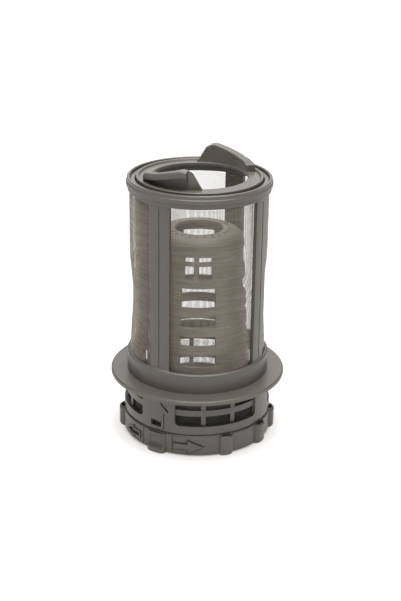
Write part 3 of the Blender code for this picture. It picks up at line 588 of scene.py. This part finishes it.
# Handle ring in the rim's bore, with two finger wings standing on its mouth
grip = {
    "seatGap": 0.0005,                  # round the ring, in the rim's bore
    "mouthRadius": 0.0228, "lipWidth": 0.0015,
    "lipProud": 0.0003,                 # above the frame's rim
    "shelfDrop": 0.0009, "shelfThickness": 0.0014, "shelfRise": 0.0007, "wingWall": 0.0017,
    "wingHeight": 0.0092,               # above the rim
    "wingEndHeight": 0.0050, "wingStart": 4.2, "wingShoulder": -7.0,
    "wingShoulderDrop": 0.0016,         # below the peak
    "wingCrest": -10.0, "wingCrestDrop": 0.0005, "wingPeak": -18.0, "wingFall": -54.0,
    "wingTail": -65.5,
    "wingTailDrop": 0.0005,             # below the end height
    "wingEnd": -71.5, "wingEndDrop": 0.0020, "wingLipStart": -12.5, "wingLipReach": 0.0031,
    "wingLipThickness": 0.0015, "wingLipCurl": 0.0030, "wingReturnDegrees": 3.6, "wingCount": 2,
    "wingTopEase": 0.1,                 # share of the height taken off the plain part's edges
    "plainShares": (0.0, 0.3, 0.4, 0.5, 0.6, 0.8),      # points up the back of a wing
    "returnShares": (0.0, 0.2, 0.4, 0.6, 0.7, 0.8),
}


def wingTop(azimuth):
    # Height of a wing's edge: a slanted end, a peak, then a long fall to the other end
    base = rimTop - grip["shelfThickness"]
    peak = rimTop + grip["wingHeight"]
    end = rimTop + grip["wingEndHeight"]
    marks = (
        (grip["wingStart"], rimTop - 2 * clearance),
        (grip["wingShoulder"], peak - grip["wingShoulderDrop"]),
        (grip["wingCrest"], peak - grip["wingCrestDrop"]),
        (grip["wingPeak"], peak),
        (grip["wingFall"], end),
        (grip["wingTail"], end - grip["wingTailDrop"]),
        (grip["wingEnd"], end - grip["wingEndDrop"]),
    )
    for (left, high), (right, low) in zip(marks, marks[1:]):
        if azimuth >= right:
            return high + (low - high) * (azimuth - left) / (right - left)
    return base


def makeHandle():
    radius = rimBore - grip["seatGap"]
    top = rimTop + grip["lipProud"]
    inner = radius - grip["lipWidth"]
    bottom = ledgeTop + clearance
    shelf = top - grip["shelfDrop"]
    mouthTop = shelf + grip["shelfRise"]
    outline = [
        (radius - edgeRound, top),
        (radius, top - edgeRound),
        (radius, bottom),
        (inner, bottom),
        (inner, shelf - grip["shelfThickness"]),
        (grip["mouthRadius"], mouthTop - grip["shelfThickness"]),
        (grip["mouthRadius"], mouthTop - edgeRound),
        (grip["mouthRadius"] + edgeRound, mouthTop),
        (inner - edgeRound, shelf),
        (inner, top - edgeRound),
        (inner + edgeRound, top),
    ]
    ring = turned("handleRing", outline, roundSegments)

    base = shelf - 0.5 * grip["shelfThickness"]
    face = grip["mouthRadius"] + edgeRound
    back = face + grip["wingWall"]
    reach = back + grip["wingLipReach"]

    def plain(azimuth):
        edge = wingTop(azimuth)
        rise = edge - base
        # As many points as the lipped section has, so that the loft joins them one to one
        side = [(back, base + rise * share) for share in grip["plainShares"]]
        ease = grip["wingTopEase"] * rise
        return [(face, base)] + side + [(back - ease, edge), (face + ease, edge),
                                        (face, base + (1.0 - grip["wingTopEase"]) * rise)]

    def lipped(azimuth):
        edge = wingTop(azimuth)
        under = edge - grip["wingLipThickness"]
        hem = edge - grip["wingLipCurl"]
        curl = reach - grip["wingLipThickness"]
        return [(face, base), (back, base), (back, under), (curl, under), (curl, hem), (reach, hem),
                (reach, edge - 2 * edgeRound), (reach - 2 * edgeRound, edge),
                (face + edgeRound, edge), (face, edge - edgeRound)]

    def returned(azimuth):
        edge = wingTop(azimuth)
        rise = edge - base
        side = [(reach, base + rise * share) for share in grip["returnShares"]]
        return [(face, base)] + side + [(reach - 2 * edgeRound, edge), (face + edgeRound, edge),
                                        (face, edge - edgeRound)]

    slope = 0.5 * (grip["wingShoulder"] + grip["wingStart"])
    flap = grip["wingEnd"] + grip["wingReturnDegrees"]
    plainAt = [grip["wingStart"], slope, grip["wingShoulder"], grip["wingLipStart"]]
    lippedAt = [grip["wingLipStart"] - stepSpan]
    lippedAt += azimuthSteps(grip["wingPeak"], grip["wingFall"])
    lippedAt += [0.5 * (grip["wingFall"] + flap), flap + stepSpan]
    wing = [(azimuth, plain(azimuth)) for azimuth in plainAt]
    wing += [(azimuth, lipped(azimuth)) for azimuth in lippedAt]
    wing += [(azimuth, returned(azimuth)) for azimuth in (flap, grip["wingEnd"])]
    turns = [i * 360.0 / grip["wingCount"] for i in range(grip["wingCount"])]
    wings = [[(azimuth + turn, section) for azimuth, section in wing] for turn in turns]
    join(ring, "wings", wings)
    finish(ring, "handle_ring", "filter_body")


makeHandle()

# Twist ring: foot of the filter, with finger lugs, arrows and bayonet tabs
foot = {
    "step": 0.0005,                     # ring outside the skirt
    "wall": 0.0020, "web": 0.0020, "chamfer": 0.0006, "neckWall": 0.0019, "neckHeight": 0.0044,
    "lugAzimuths": (23.0, 56.5, 86.0, 117.0, 148.5, 180.0, 211.5, 243.0, 274.0),
    "lugDegrees": 11.4, "lugReach": 0.0022, "lugCrownPower": 2.5,
    "lugDrop": 0.0004,                  # lugs end below the ring's top
    "lugPocketDegrees": 6.4, "lugPocketDepth": 0.0026, "lugPocketWall": 0.0011,
    "thumbAzimuth": -31.2, "thumbDegrees": 15.6,
    "thumbReach": 0.0028,               # lip at its foot
    "thumbSideReach": 0.0013,           # cheeks either side of its pad
    "thumbPadReach": 0.0007,
    "thumbPadShare": 0.7,               # of the lug's width
    "thumbPadDrop": 0.0009,             # below the lug's top
    "thumbLipHeight": 0.0028, "thumbCrownPower": 4,
    "seamOffsetDegrees": 13.0,          # scored lines either side of the thumb lug
    "seamWidth": 0.0005, "seamDepth": 0.0004,
    "arrowStart": 13.7,                 # degrees from the thumb lug's middle
    "arrowNeck": 24.8, "arrowTip": 36.0, "arrowLevel": 0.0049, "arrowHeadHalf": 0.0033,
    "arrowShaftHalf": 0.0014, "arrowRelief": 0.0007,
    "arrowMoat": 0.0005,                # groove round the raised arrow
    "arrowPoint": 0.02,                 # share of the head's width left at the tip
    "framedArrowStart": 16.2, "framedArrowShaftHalf": 0.0019,
    "framedArrowBorder": 0.0008,        # raised border round the arrow sunk in it
    "nubReach": 0.0003, "nubDegrees": 4.0, "nubHeight": 0.0012,
}

ringRadius = skirtRadius + foot["step"]
ringInner = ringRadius - foot["wall"]
lugBase = ringRadius - edgeRound
neckRadius = skirtInner - runningGap
neckInner = neckRadius - foot["neckWall"]
neckTop = ringHeight + foot["neckHeight"]
webUnder = ringHeight - foot["web"]
lugTop = ringHeight - foot["lugDrop"]


# Places across a lug, from -1 to 1, and how far its rounded face stands out there
def crownSteps(steps, power):
    places = [2.0 * i / steps - 1.0 for i in range(steps + 1)]
    return [(across, math.sqrt(max(0.0, 1.0 - abs(across) ** power))) for across in places]


def lugBlock(middle):
    stations = []
    for across, crown in crownSteps(lugSteps, foot["lugCrownPower"]):
        outer = lugBase + (foot["lugReach"] + edgeRound) * crown
        section = [
            (ringInner, 0.0),
            (outer - foot["chamfer"], 0.0),
            (outer, 1.5 * foot["chamfer"]),
            (outer, lugTop - foot["chamfer"]),
            (outer - foot["chamfer"], lugTop),
            (ringInner, lugTop),
        ]
        stations.append((middle + 0.5 * foot["lugDegrees"] * across, section))
    return stations


def thumbBlock():
    # A pad pressed into the lug's face, between two cheeks and above a lip to push on
    padTop = lugTop - foot["thumbPadDrop"]
    stations = []
    for across, crown in crownSteps(thumbSteps, foot["thumbCrownPower"]):
        onPad = abs(across) < foot["thumbPadShare"]
        pad = foot["thumbPadReach"] if onPad else foot["thumbSideReach"]
        face = [
            (foot["thumbReach"] - foot["chamfer"], 0.0),
            (foot["thumbReach"], foot["chamfer"]),
            (foot["thumbReach"], foot["thumbLipHeight"]),
            (pad, foot["thumbLipHeight"] + foot["chamfer"]),
            (pad, padTop - foot["chamfer"]),
            (foot["thumbSideReach"], padTop),
            (foot["thumbSideReach"], lugTop),
        ]
        section = [(lugBase + (reach + edgeRound) * crown, z) for reach, z in face]
        stations.append((foot["thumbAzimuth"] + 0.5 * foot["thumbDegrees"] * across,
                         [(ringInner, 0.0)] + section + [(ringInner, lugTop)]))
    return stations


def arrowBlock(direction, start, shaftHalf, inner, outer, border=0.0):
    # A border moves every edge of the arrow inwards
    turn = degreesOf(border, ringRadius)
    fullHalf = foot["arrowHeadHalf"]
    length = math.radians(foot["arrowTip"] - foot["arrowNeck"]) * ringRadius
    neck = foot["arrowNeck"] + turn
    tip = foot["arrowTip"] - turn * math.hypot(length, fullHalf) / fullHalf
    headHalf = fullHalf * (tip - neck) / (foot["arrowTip"] - foot["arrowNeck"])
    marks = [(start + turn, shaftHalf - border), (neck, shaftHalf - border),
             (neck + stepSpan, headHalf)]
    for azimuth in azimuthSteps(neck, tip)[1:]:
        taper = max(foot["arrowPoint"], (tip - azimuth) / (tip - neck))
        marks.append((azimuth, taper * headHalf))
    return [(foot["thumbAzimuth"] + direction * azimuth,
             rectangle(inner, outer, foot["arrowLevel"] - half, foot["arrowLevel"] + half))
            for azimuth, half in marks]


def makeTwistRing():
    webHole = coarse["footRadius"] + runningGap
    outline = [
        (ringRadius - foot["chamfer"], ringHeight),
        (ringRadius, ringHeight - foot["chamfer"]),
        (ringRadius, 1.5 * foot["chamfer"]),
        (ringRadius - foot["chamfer"], 0.0),
        (ringInner, 0.0),
        (ringInner, webUnder),
        (webHole, webUnder),
        (webHole, ringHeight),
        (neckInner, ringHeight),
        (neckInner, neckTop),
        (neckRadius, neckTop),
        (neckRadius, ringHeight),
    ]
    ring = turned("footRing", outline, roundSegments)

    lugs = [thumbBlock()]
    pockets = []
    half = 0.5 * foot["lugPocketDegrees"]
    for middle in foot["lugAzimuths"]:
        lugs.append(lugBlock(middle))
        pockets.append(arcBlock(middle - half, middle + half, ringRadius - foot["chamfer"],
                                ringRadius + foot["lugReach"] - foot["lugPocketWall"],
                                lugTop - foot["lugPocketDepth"], lugTop + beyond))
    join(ring, "lugs", lugs)
    cut(ring, "lugPockets", pockets)

    half = 0.5 * degreesOf(foot["seamWidth"], ringRadius)
    seams = [arcBlock(middle - half, middle + half, ringRadius - foot["seamDepth"],
                      ringRadius + beyond, -beyond, ringHeight + beyond)
             for middle in (foot["thumbAzimuth"] - foot["seamOffsetDegrees"],
                            foot["thumbAzimuth"] + foot["seamOffsetDegrees"])]
    cut(ring, "ringSeams", seams)

    inner = ringRadius - foot["arrowRelief"]
    outer = ringRadius + foot["arrowRelief"]
    plainArrow = (1, foot["arrowStart"], foot["arrowShaftHalf"])
    framedArrow = (-1, foot["framedArrowStart"], foot["framedArrowShaftHalf"])
    moat = arrowBlock(*plainArrow, ringRadius - foot["arrowMoat"], outer + beyond,
                      -foot["arrowMoat"])
    raised = [arrowBlock(*plainArrow, inner, outer), arrowBlock(*framedArrow, inner, outer)]
    sunk = arrowBlock(*framedArrow, inner, outer + beyond, foot["framedArrowBorder"])
    cut(ring, "arrowMoat", [moat])
    join(ring, "raisedArrows", raised)
    cut(ring, "sunkArrow", [sunk])

    root = neckRadius - 0.5 * foot["neckWall"]
    half = 0.5 * bayonet["degrees"]
    tabs = [arcBlock(middle - half, middle + half, root, tabRadius, tabBottom, tabTop)
            for middle in onEachSide(bayonet["azimuth"])]
    half = 0.5 * foot["nubDegrees"]
    low = lockBottom + 0.5 * (skirt["lockWindowHeight"] - foot["nubHeight"])
    tabs.append(arcBlock(skirt["latchAzimuth"] - half, skirt["latchAzimuth"] + half,
                         root, neckRadius + foot["nubReach"], low, low + foot["nubHeight"]))
    join(ring, "bayonetTabs", tabs)
    finish(ring, "twist_ring", "base")


# Domed, tapered cage with four columns of windows
coarse = {
    "wall": 0.0012, "holeRadius": 0.0117, "topRadius": 0.0219, "footRadius": 0.0264,
    "height": 0.0934,                   # from its flange to the top of the dome
    "domeDrop": 0.0062,
    "domePower": 0.8,                   # under 1 the dome is squarer than an ellipse
    "domeSteps": 12, "flange": 0.0015, "spigot": 0.0070, "rimWidth": 0.0014, "rimHeight": 0.0004,
    "topBand": 0.0081,                  # from the dome's top to the first window
    "rowHeights": (0.0110, 0.0096, 0.0053, 0.0049, 0.0057, 0.0059, 0.0037),
    "ribHeights": (0.0043, 0.0045, 0.0046, 0.0051, 0.0049, 0.0057), "columns": 4,
    "windowDegrees": 43.0,
    "crossDegrees": 33.4,               # front window at the top, with a cross in it
    "crossBar": 0.0020, "crossDrop": 0.0023, "crossPostDegrees": 6.2, "crossPostAzimuth": -2.3,
    "ventCount": 24, "ventRadius": 0.00070,
    "ventCircle": 0.0026,               # outside the cage's hole
    "ventFirstAzimuth": -3.45, "ventSides": 12,
}

cageSeat = ringHeight + clearance
cageFlangeTop = cageSeat + coarse["flange"]
cageTop = cageSeat + coarse["height"]
cageShoulder = cageTop - coarse["domeDrop"]


def cageRadius(z):
    share = (cageShoulder - z) / (cageShoulder - cageFlangeTop)
    return coarse["topRadius"] + (coarse["footRadius"] - coarse["topRadius"]) * max(0.0, share)


def cageOutline():
    # The dome's edge is an elliptical quarter round, inside and outside
    rim = coarse["holeRadius"] + coarse["rimWidth"]
    flat = cageTop - coarse["rimHeight"]
    steps = coarse["domeSteps"]

    def dome(inset):
        across = coarse["topRadius"] - rim - inset
        drop = flat - cageShoulder - inset
        angles = [math.radians(90.0 * i / steps) for i in range(1, steps + 1)]
        return [(rim + across * math.sin(angle) ** coarse["domePower"],
                 cageShoulder + drop * math.cos(angle)) for angle in angles]

    flange = neckInner - clearance
    spigotInner = coarse["footRadius"] - coarse["wall"]
    spigotFoot = cageSeat - coarse["spigot"]
    return [(rim - edgeRound, cageTop), (rim, flat)] + dome(0.0) + [
        (coarse["footRadius"], cageFlangeTop),
        (flange, cageFlangeTop),
        (flange, cageSeat),
        (coarse["footRadius"], cageSeat),
        (coarse["footRadius"], spigotFoot),
        (spigotInner, spigotFoot),
        (spigotInner, cageFlangeTop),
    ] + dome(coarse["wall"])[::-1] + [
        (coarse["holeRadius"], flat - coarse["wall"]),
        (coarse["holeRadius"], cageTop - edgeRound),
        (coarse["holeRadius"] + edgeRound, cageTop),
    ]


def cageWindows():
    # Four equal columns, but the front one's top window is narrower and has a cross
    blocks = []
    half = 0.5 * coarse["windowDegrees"]
    cross = 0.5 * coarse["crossDegrees"]
    post = 0.5 * coarse["crossPostDegrees"]
    crossPost = coarse["crossPostAzimuth"]
    panes = ((-cross, crossPost - post), (crossPost + post, cross))
    for column in range(coarse["columns"]):
        middle = column * 360.0 / coarse["columns"]
        high = cageTop - coarse["topBand"]
        for row, height in enumerate(coarse["rowHeights"]):
            low = high - height
            inner = cageRadius(high) - coarse["wall"]
            outer = cageRadius(low)
            if row == 0 and column == 0:
                barTop = high - coarse["crossDrop"]
                for start, end in panes:
                    for bottom, top in ((low, barTop - coarse["crossBar"]), (barTop, high)):
                        blocks.append(wallCut(start, end, inner, outer, bottom, top))
            else:
                blocks.append(wallCut(middle - half, middle + half, inner, outer, low, high))
            if row < len(coarse["ribHeights"]):
                high = low - coarse["ribHeights"][row]
    return blocks


def makeCage():
    cage = turned("coarseCage", cageOutline(), cageSegments)
    cut(cage, "cageWindows", cageWindows())
    shape = bmesh.new()
    circle = coarse["holeRadius"] + coarse["ventCircle"]
    for i in range(coarse["ventCount"]):
        azimuth = coarse["ventFirstAzimuth"] + i * 360.0 / coarse["ventCount"]
        made = bmesh.ops.create_cone(shape, cap_ends=True, segments=coarse["ventSides"],
                                     radius1=coarse["ventRadius"], radius2=coarse["ventRadius"],
                                     depth=4 * coarse["wall"])
        bmesh.ops.translate(shape, verts=made["verts"],
                            vec=polar(circle, azimuth, cageTop - coarse["wall"]))
    combine(cage, addObject("vents", meshFrom("vents", shape)), "DIFFERENCE")
    finish(cage, "inner_cage", "base")


# The hole in the ring's web is sized by the cage, so both are made here
makeTwistRing()
makeCage()


wireTurns = (90.0, 210.0, 330.0)    # corners of a wire's section, in degrees round it
crossing = 0.25                     # share of its width that a wire lies in or out of the weave


# A wire follows a line of points: narrow faces round it, with closed loops for hoops
def addWires(points, closed, width, outwards, corners, faces):
    lines, steps = points.shape[:2]
    after = np.roll(points, -1, axis=1)
    before = np.roll(points, 1, axis=1)
    if not closed:
        after[:, -1] = points[:, -1]
        before[:, 0] = points[:, 0]
    along = after - before
    along /= np.linalg.norm(along, axis=2, keepdims=True)
    across = np.cross(along, outwards)
    across /= np.linalg.norm(across, axis=2, keepdims=True)
    start = sum(len(block) for block in corners)
    for turn in wireTurns:
        angle = math.radians(turn)
        ring = points + 0.5 * width * (math.sin(angle) * outwards + math.cos(angle) * across)
        corners.append(ring.reshape(-1, 3))
    size = lines * steps
    index = np.arange(size).reshape(lines, steps)
    following = np.roll(index, -1, axis=1)
    if not closed:
        index, following = index[:, :-1], following[:, :-1]
    for side in range(len(wireTurns)):
        here = start + side * size
        there = start + (side + 1) % len(wireTurns) * size
        quad = np.stack([here + index, there + index, there + following, here + following], axis=2)
        faces.append(quad.reshape(-1, 4))


def makeWoven(settings, radiusAt, node, body):
    corners = []
    faces = []
    warpCount = settings["warpCount"]
    azimuths = 360.0 * np.arange(warpCount) / warpCount
    levels = np.linspace(settings["low"], settings["high"], settings["warpSteps"])

    def surface(azimuthGrid, zGrid, offset):
        angle = np.radians(azimuthGrid)
        radius = radiusAt(azimuthGrid, zGrid) + offset
        points = np.stack([radius * np.sin(angle), -radius * np.cos(angle), zGrid], axis=2)
        outwards = np.stack([np.sin(angle), -np.cos(angle), np.zeros_like(angle)], axis=2)
        return points, outwards

    width = settings["warpWidth"]
    warp = np.meshgrid(azimuths, levels, indexing="ij")
    points, outwards = surface(warp[0], warp[1], -crossing * width)
    addWires(points, False, width, outwards, corners, faces)
    width = settings["weftWidth"]
    hoops = np.linspace(settings["low"], settings["high"], settings["weftCount"])
    around = 360.0 * np.arange(settings["weftSteps"]) / settings["weftSteps"]
    weft = np.meshgrid(hoops, around, indexing="ij")
    points, outwards = surface(weft[1], weft[0], crossing * width)
    addWires(points, True, width, outwards, corners, faces)

    mesh = bpy.data.meshes.new(settings["name"])
    allCorners = np.concatenate(corners).astype(np.float32)
    allFaces = np.concatenate(faces).astype(np.int32)
    mesh.vertices.add(len(allCorners))
    mesh.vertices.foreach_set("co", allCorners.ravel())
    mesh.loops.add(allFaces.size)
    mesh.loops.foreach_set("vertex_index", allFaces.ravel())
    mesh.polygons.add(len(allFaces))
    mesh.polygons.foreach_set("loop_start", np.arange(0, allFaces.size, 4, dtype=np.int32))
    mesh.update(calc_edges=True)
    mesh.shade_smooth()
    woven = addObject(settings["name"], mesh)
    mesh.materials.append(nodes[node].data.materials[0])
    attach(woven, body)
    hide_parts(node)
    print(settings["name"], "woven:", 2 * len(allFaces), "triangles")


# Upright wires are the warp, round ones the weft
upperWeave = {
    "name": "woven_sleeve", "warpCount": 600, "warpSteps": 14, "weftCount": 270, "weftSteps": 64,
    "warpWidth": 0.000106, "weftWidth": 0.000050, "low": 0.0326, "high": 0.1228,
    "seatRadius": 0.03124,              # behind a post
    "coverDegrees": 10.1,               # that a post covers either side of its middle
    "foot": 0.0420, "head": 0.1228,     # where the bulge is measured from and to
    "waist": 0.37,                      # share of that height at which it is least
    "bulgeFoot": 0.0020, "bulgeWaist": 0.0006, "bulgeHead": 0.0021,
    "bulgePower": 3,                    # higher is squarer across a window
    "headSteepness": 2.2,
}


def smooth(value):
    share = np.clip(value, 0.0, 1.0)
    return share * share * (3.0 - 2.0 * share)


def upperRadius(azimuth, z):
    # The sleeve lies flat behind each post and stands out between two of them
    weave = upperWeave
    crown = np.zeros_like(azimuth)
    for left, right in zip(mould["postAzimuths"], nextAzimuths):
        start = left + weave["coverDegrees"]
        across = np.mod(azimuth - start, 360.0) / (right - weave["coverDegrees"] - start)
        swell = 1.0 - np.abs(2.0 * across - 1.0) ** weave["bulgePower"]
        crown = np.where(across < 1.0, swell, crown)
    share = np.clip((z - weave["foot"]) / (weave["head"] - weave["foot"]), 0.0, 1.0)
    lowBlend = smooth(share / weave["waist"])
    highBlend = smooth(weave["headSteepness"] * (share - weave["waist"]) / (1.0 - weave["waist"]))
    bulge = weave["bulgeFoot"] + (weave["bulgeWaist"] - weave["bulgeFoot"]) * lowBlend
    bulge = bulge + (weave["bulgeHead"] - weave["bulgeWaist"]) * highBlend
    return weave["seatRadius"] + bulge * crown


makeWoven(upperWeave, upperRadius, "upper_mesh", "filter_body")

lowerWeave = {
    "name": "woven_band", "warpCount": 600, "warpSteps": 2, "weftCount": 44, "weftSteps": 80,
    "warpWidth": 0.000120, "weftWidth": 0.000120, "low": 0.0156, "high": 0.0304, "radius": 0.0339,
}


def lowerRadius(azimuth, z):
    return np.full_like(azimuth, lowerWeave["radius"])


makeWoven(lowerWeave, lowerRadius, "lower_mesh", "filter_body")


# Floor, light and camera
studio = {
    "floorSize": 6.0, "floorDrop": 0.0002, "floorColour": (0.25, 0.25, 0.25), "floorGlow": 0.93,
    "floorRoughness": 0.9,
    # Distances from the filter's axis as shares of stopUnit, and the glow there: none under the
    # filter, which is painted shade seen through its open foot, then a painted contact shadow round
    # its foot that fades to the full glow
    "floorGlowAndShadowStops": [(0.345, (0.0, 0.0, 0.0)), (0.378, (0.70, 0.68, 0.67)), (0.52, (1.0, 1.0, 1.0))],
    "stopUnit": 0.1,
    "skyStrength": 0.20, "skyColour": (1.0, 1.0, 1.0),
    "keyEnergy": 19.5, "keySize": 0.9, "keyPlace": (0.05, -0.12, 1.1),
    "fillEnergy": 0.8, "fillSize": 0.8, "fillPlace": (-0.9, -0.35, 0.7),
    "frontEnergy": 2.0, "frontSize": 0.7, "frontPlace": (0.15, -1.3, 0.30),
    "backEnergy": 6.6, "backSize": 1.2, "backPlace": (0.0, 1.15, 0.80),
    "lampAim": (0.0, 0.0, 0.07),
}

floorMaterial, floorTree, floorShader, floorCoords = startMaterial("studioFloor")
floorShader.inputs["Base Color"].default_value = (*studio["floorColour"], 1.0)
floorShader.inputs["Roughness"].default_value = studio["floorRoughness"]
floorShader.inputs["Specular IOR Level"].default_value = 0.0
away = addNode(floorTree, "ShaderNodeVectorMath", operation="LENGTH")
link(floorTree, floorCoords, away.inputs[0])
scaled = addNode(floorTree, "ShaderNodeMath", operation="DIVIDE")
scaled.inputs[1].default_value = studio["stopUnit"]
link(floorTree, away.outputs["Value"], scaled.inputs[0])
# The floor's glow is cut under the filter and dimmed round its foot: painted shade and a painted
# contact shadow
glowWithPaintedShadow = ramp(floorTree, scaled.outputs[0], studio["floorGlowAndShadowStops"])
link(floorTree, glowWithPaintedShadow, floorShader.inputs["Emission Color"])
floorShader.inputs["Emission Strength"].default_value = studio["floorGlow"]
floorHalf = 0.5 * studio["floorSize"]
floorMesh = bpy.data.meshes.new("floor")
floorCorners = [(x * floorHalf, y * floorHalf, 0.0)
                for x, y in ((-1, -1), (1, -1), (1, 1), (-1, 1))]
floorMesh.from_pydata(floorCorners, [], [(0, 1, 2, 3)])
floorMesh.materials.append(floorMaterial)
floor = addObject("floor", floorMesh)
floor.location.z = -studio["floorDrop"]

world = bpy.data.worlds.new("studioSky")
world.use_nodes = True
world.node_tree.nodes["Background"].inputs["Color"].default_value = (*studio["skyColour"], 1.0)
world.node_tree.nodes["Background"].inputs["Strength"].default_value = studio["skyStrength"]
bpy.context.scene.world = world


def addLamp(name):
    data = bpy.data.lights.new(name + "Light", "AREA")
    data.energy = studio[name + "Energy"]
    data.size = studio[name + "Size"]
    place = Vector(studio[name + "Place"])
    lamp = addObject(name + "Light", data)
    lamp.location = place
    lamp.rotation_mode = "QUATERNION"
    lamp.rotation_quaternion = (Vector(studio["lampAim"]) - place).to_track_quat("-Z", "Y")


for lampName in ("key", "fill", "front", "back"):
    addLamp(lampName)

bpy.context.scene.view_settings.view_transform = "Standard"
bpy.context.scene.view_settings.look = "None"

shot = {
    "elevation": 21.926, "distance": 0.599335, "roll": 0.776,
    "target": (0.001149, 0.0, 0.066164), "lens": 73.117, "sensor": 36.0, "nearest": 0.01,
}


def placeCamera():
    elevation = math.radians(shot["elevation"])
    roll = math.radians(shot["roll"])
    ahead = Vector((0.0, math.cos(elevation), -math.sin(elevation)))
    level = Vector((1.0, 0.0, 0.0))
    rise = Vector((0.0, math.sin(elevation), math.cos(elevation)))
    right = level * math.cos(roll) + rise * math.sin(roll)
    up = rise * math.cos(roll) - level * math.sin(roll)
    data = bpy.data.cameras.new("studioCamera")
    data.lens = shot["lens"]
    data.sensor_width = shot["sensor"]
    data.dof.use_dof = False
    data.clip_start = shot["nearest"]
    place = Matrix.Translation(Vector(shot["target"]) - ahead * shot["distance"])
    turn = Matrix((right, up, -ahead)).transposed().to_4x4()
    camera = addObject("studioCamera", data)
    camera.matrix_world = place @ turn
    bpy.context.scene.camera = camera


placeCamera()
print("studio set")
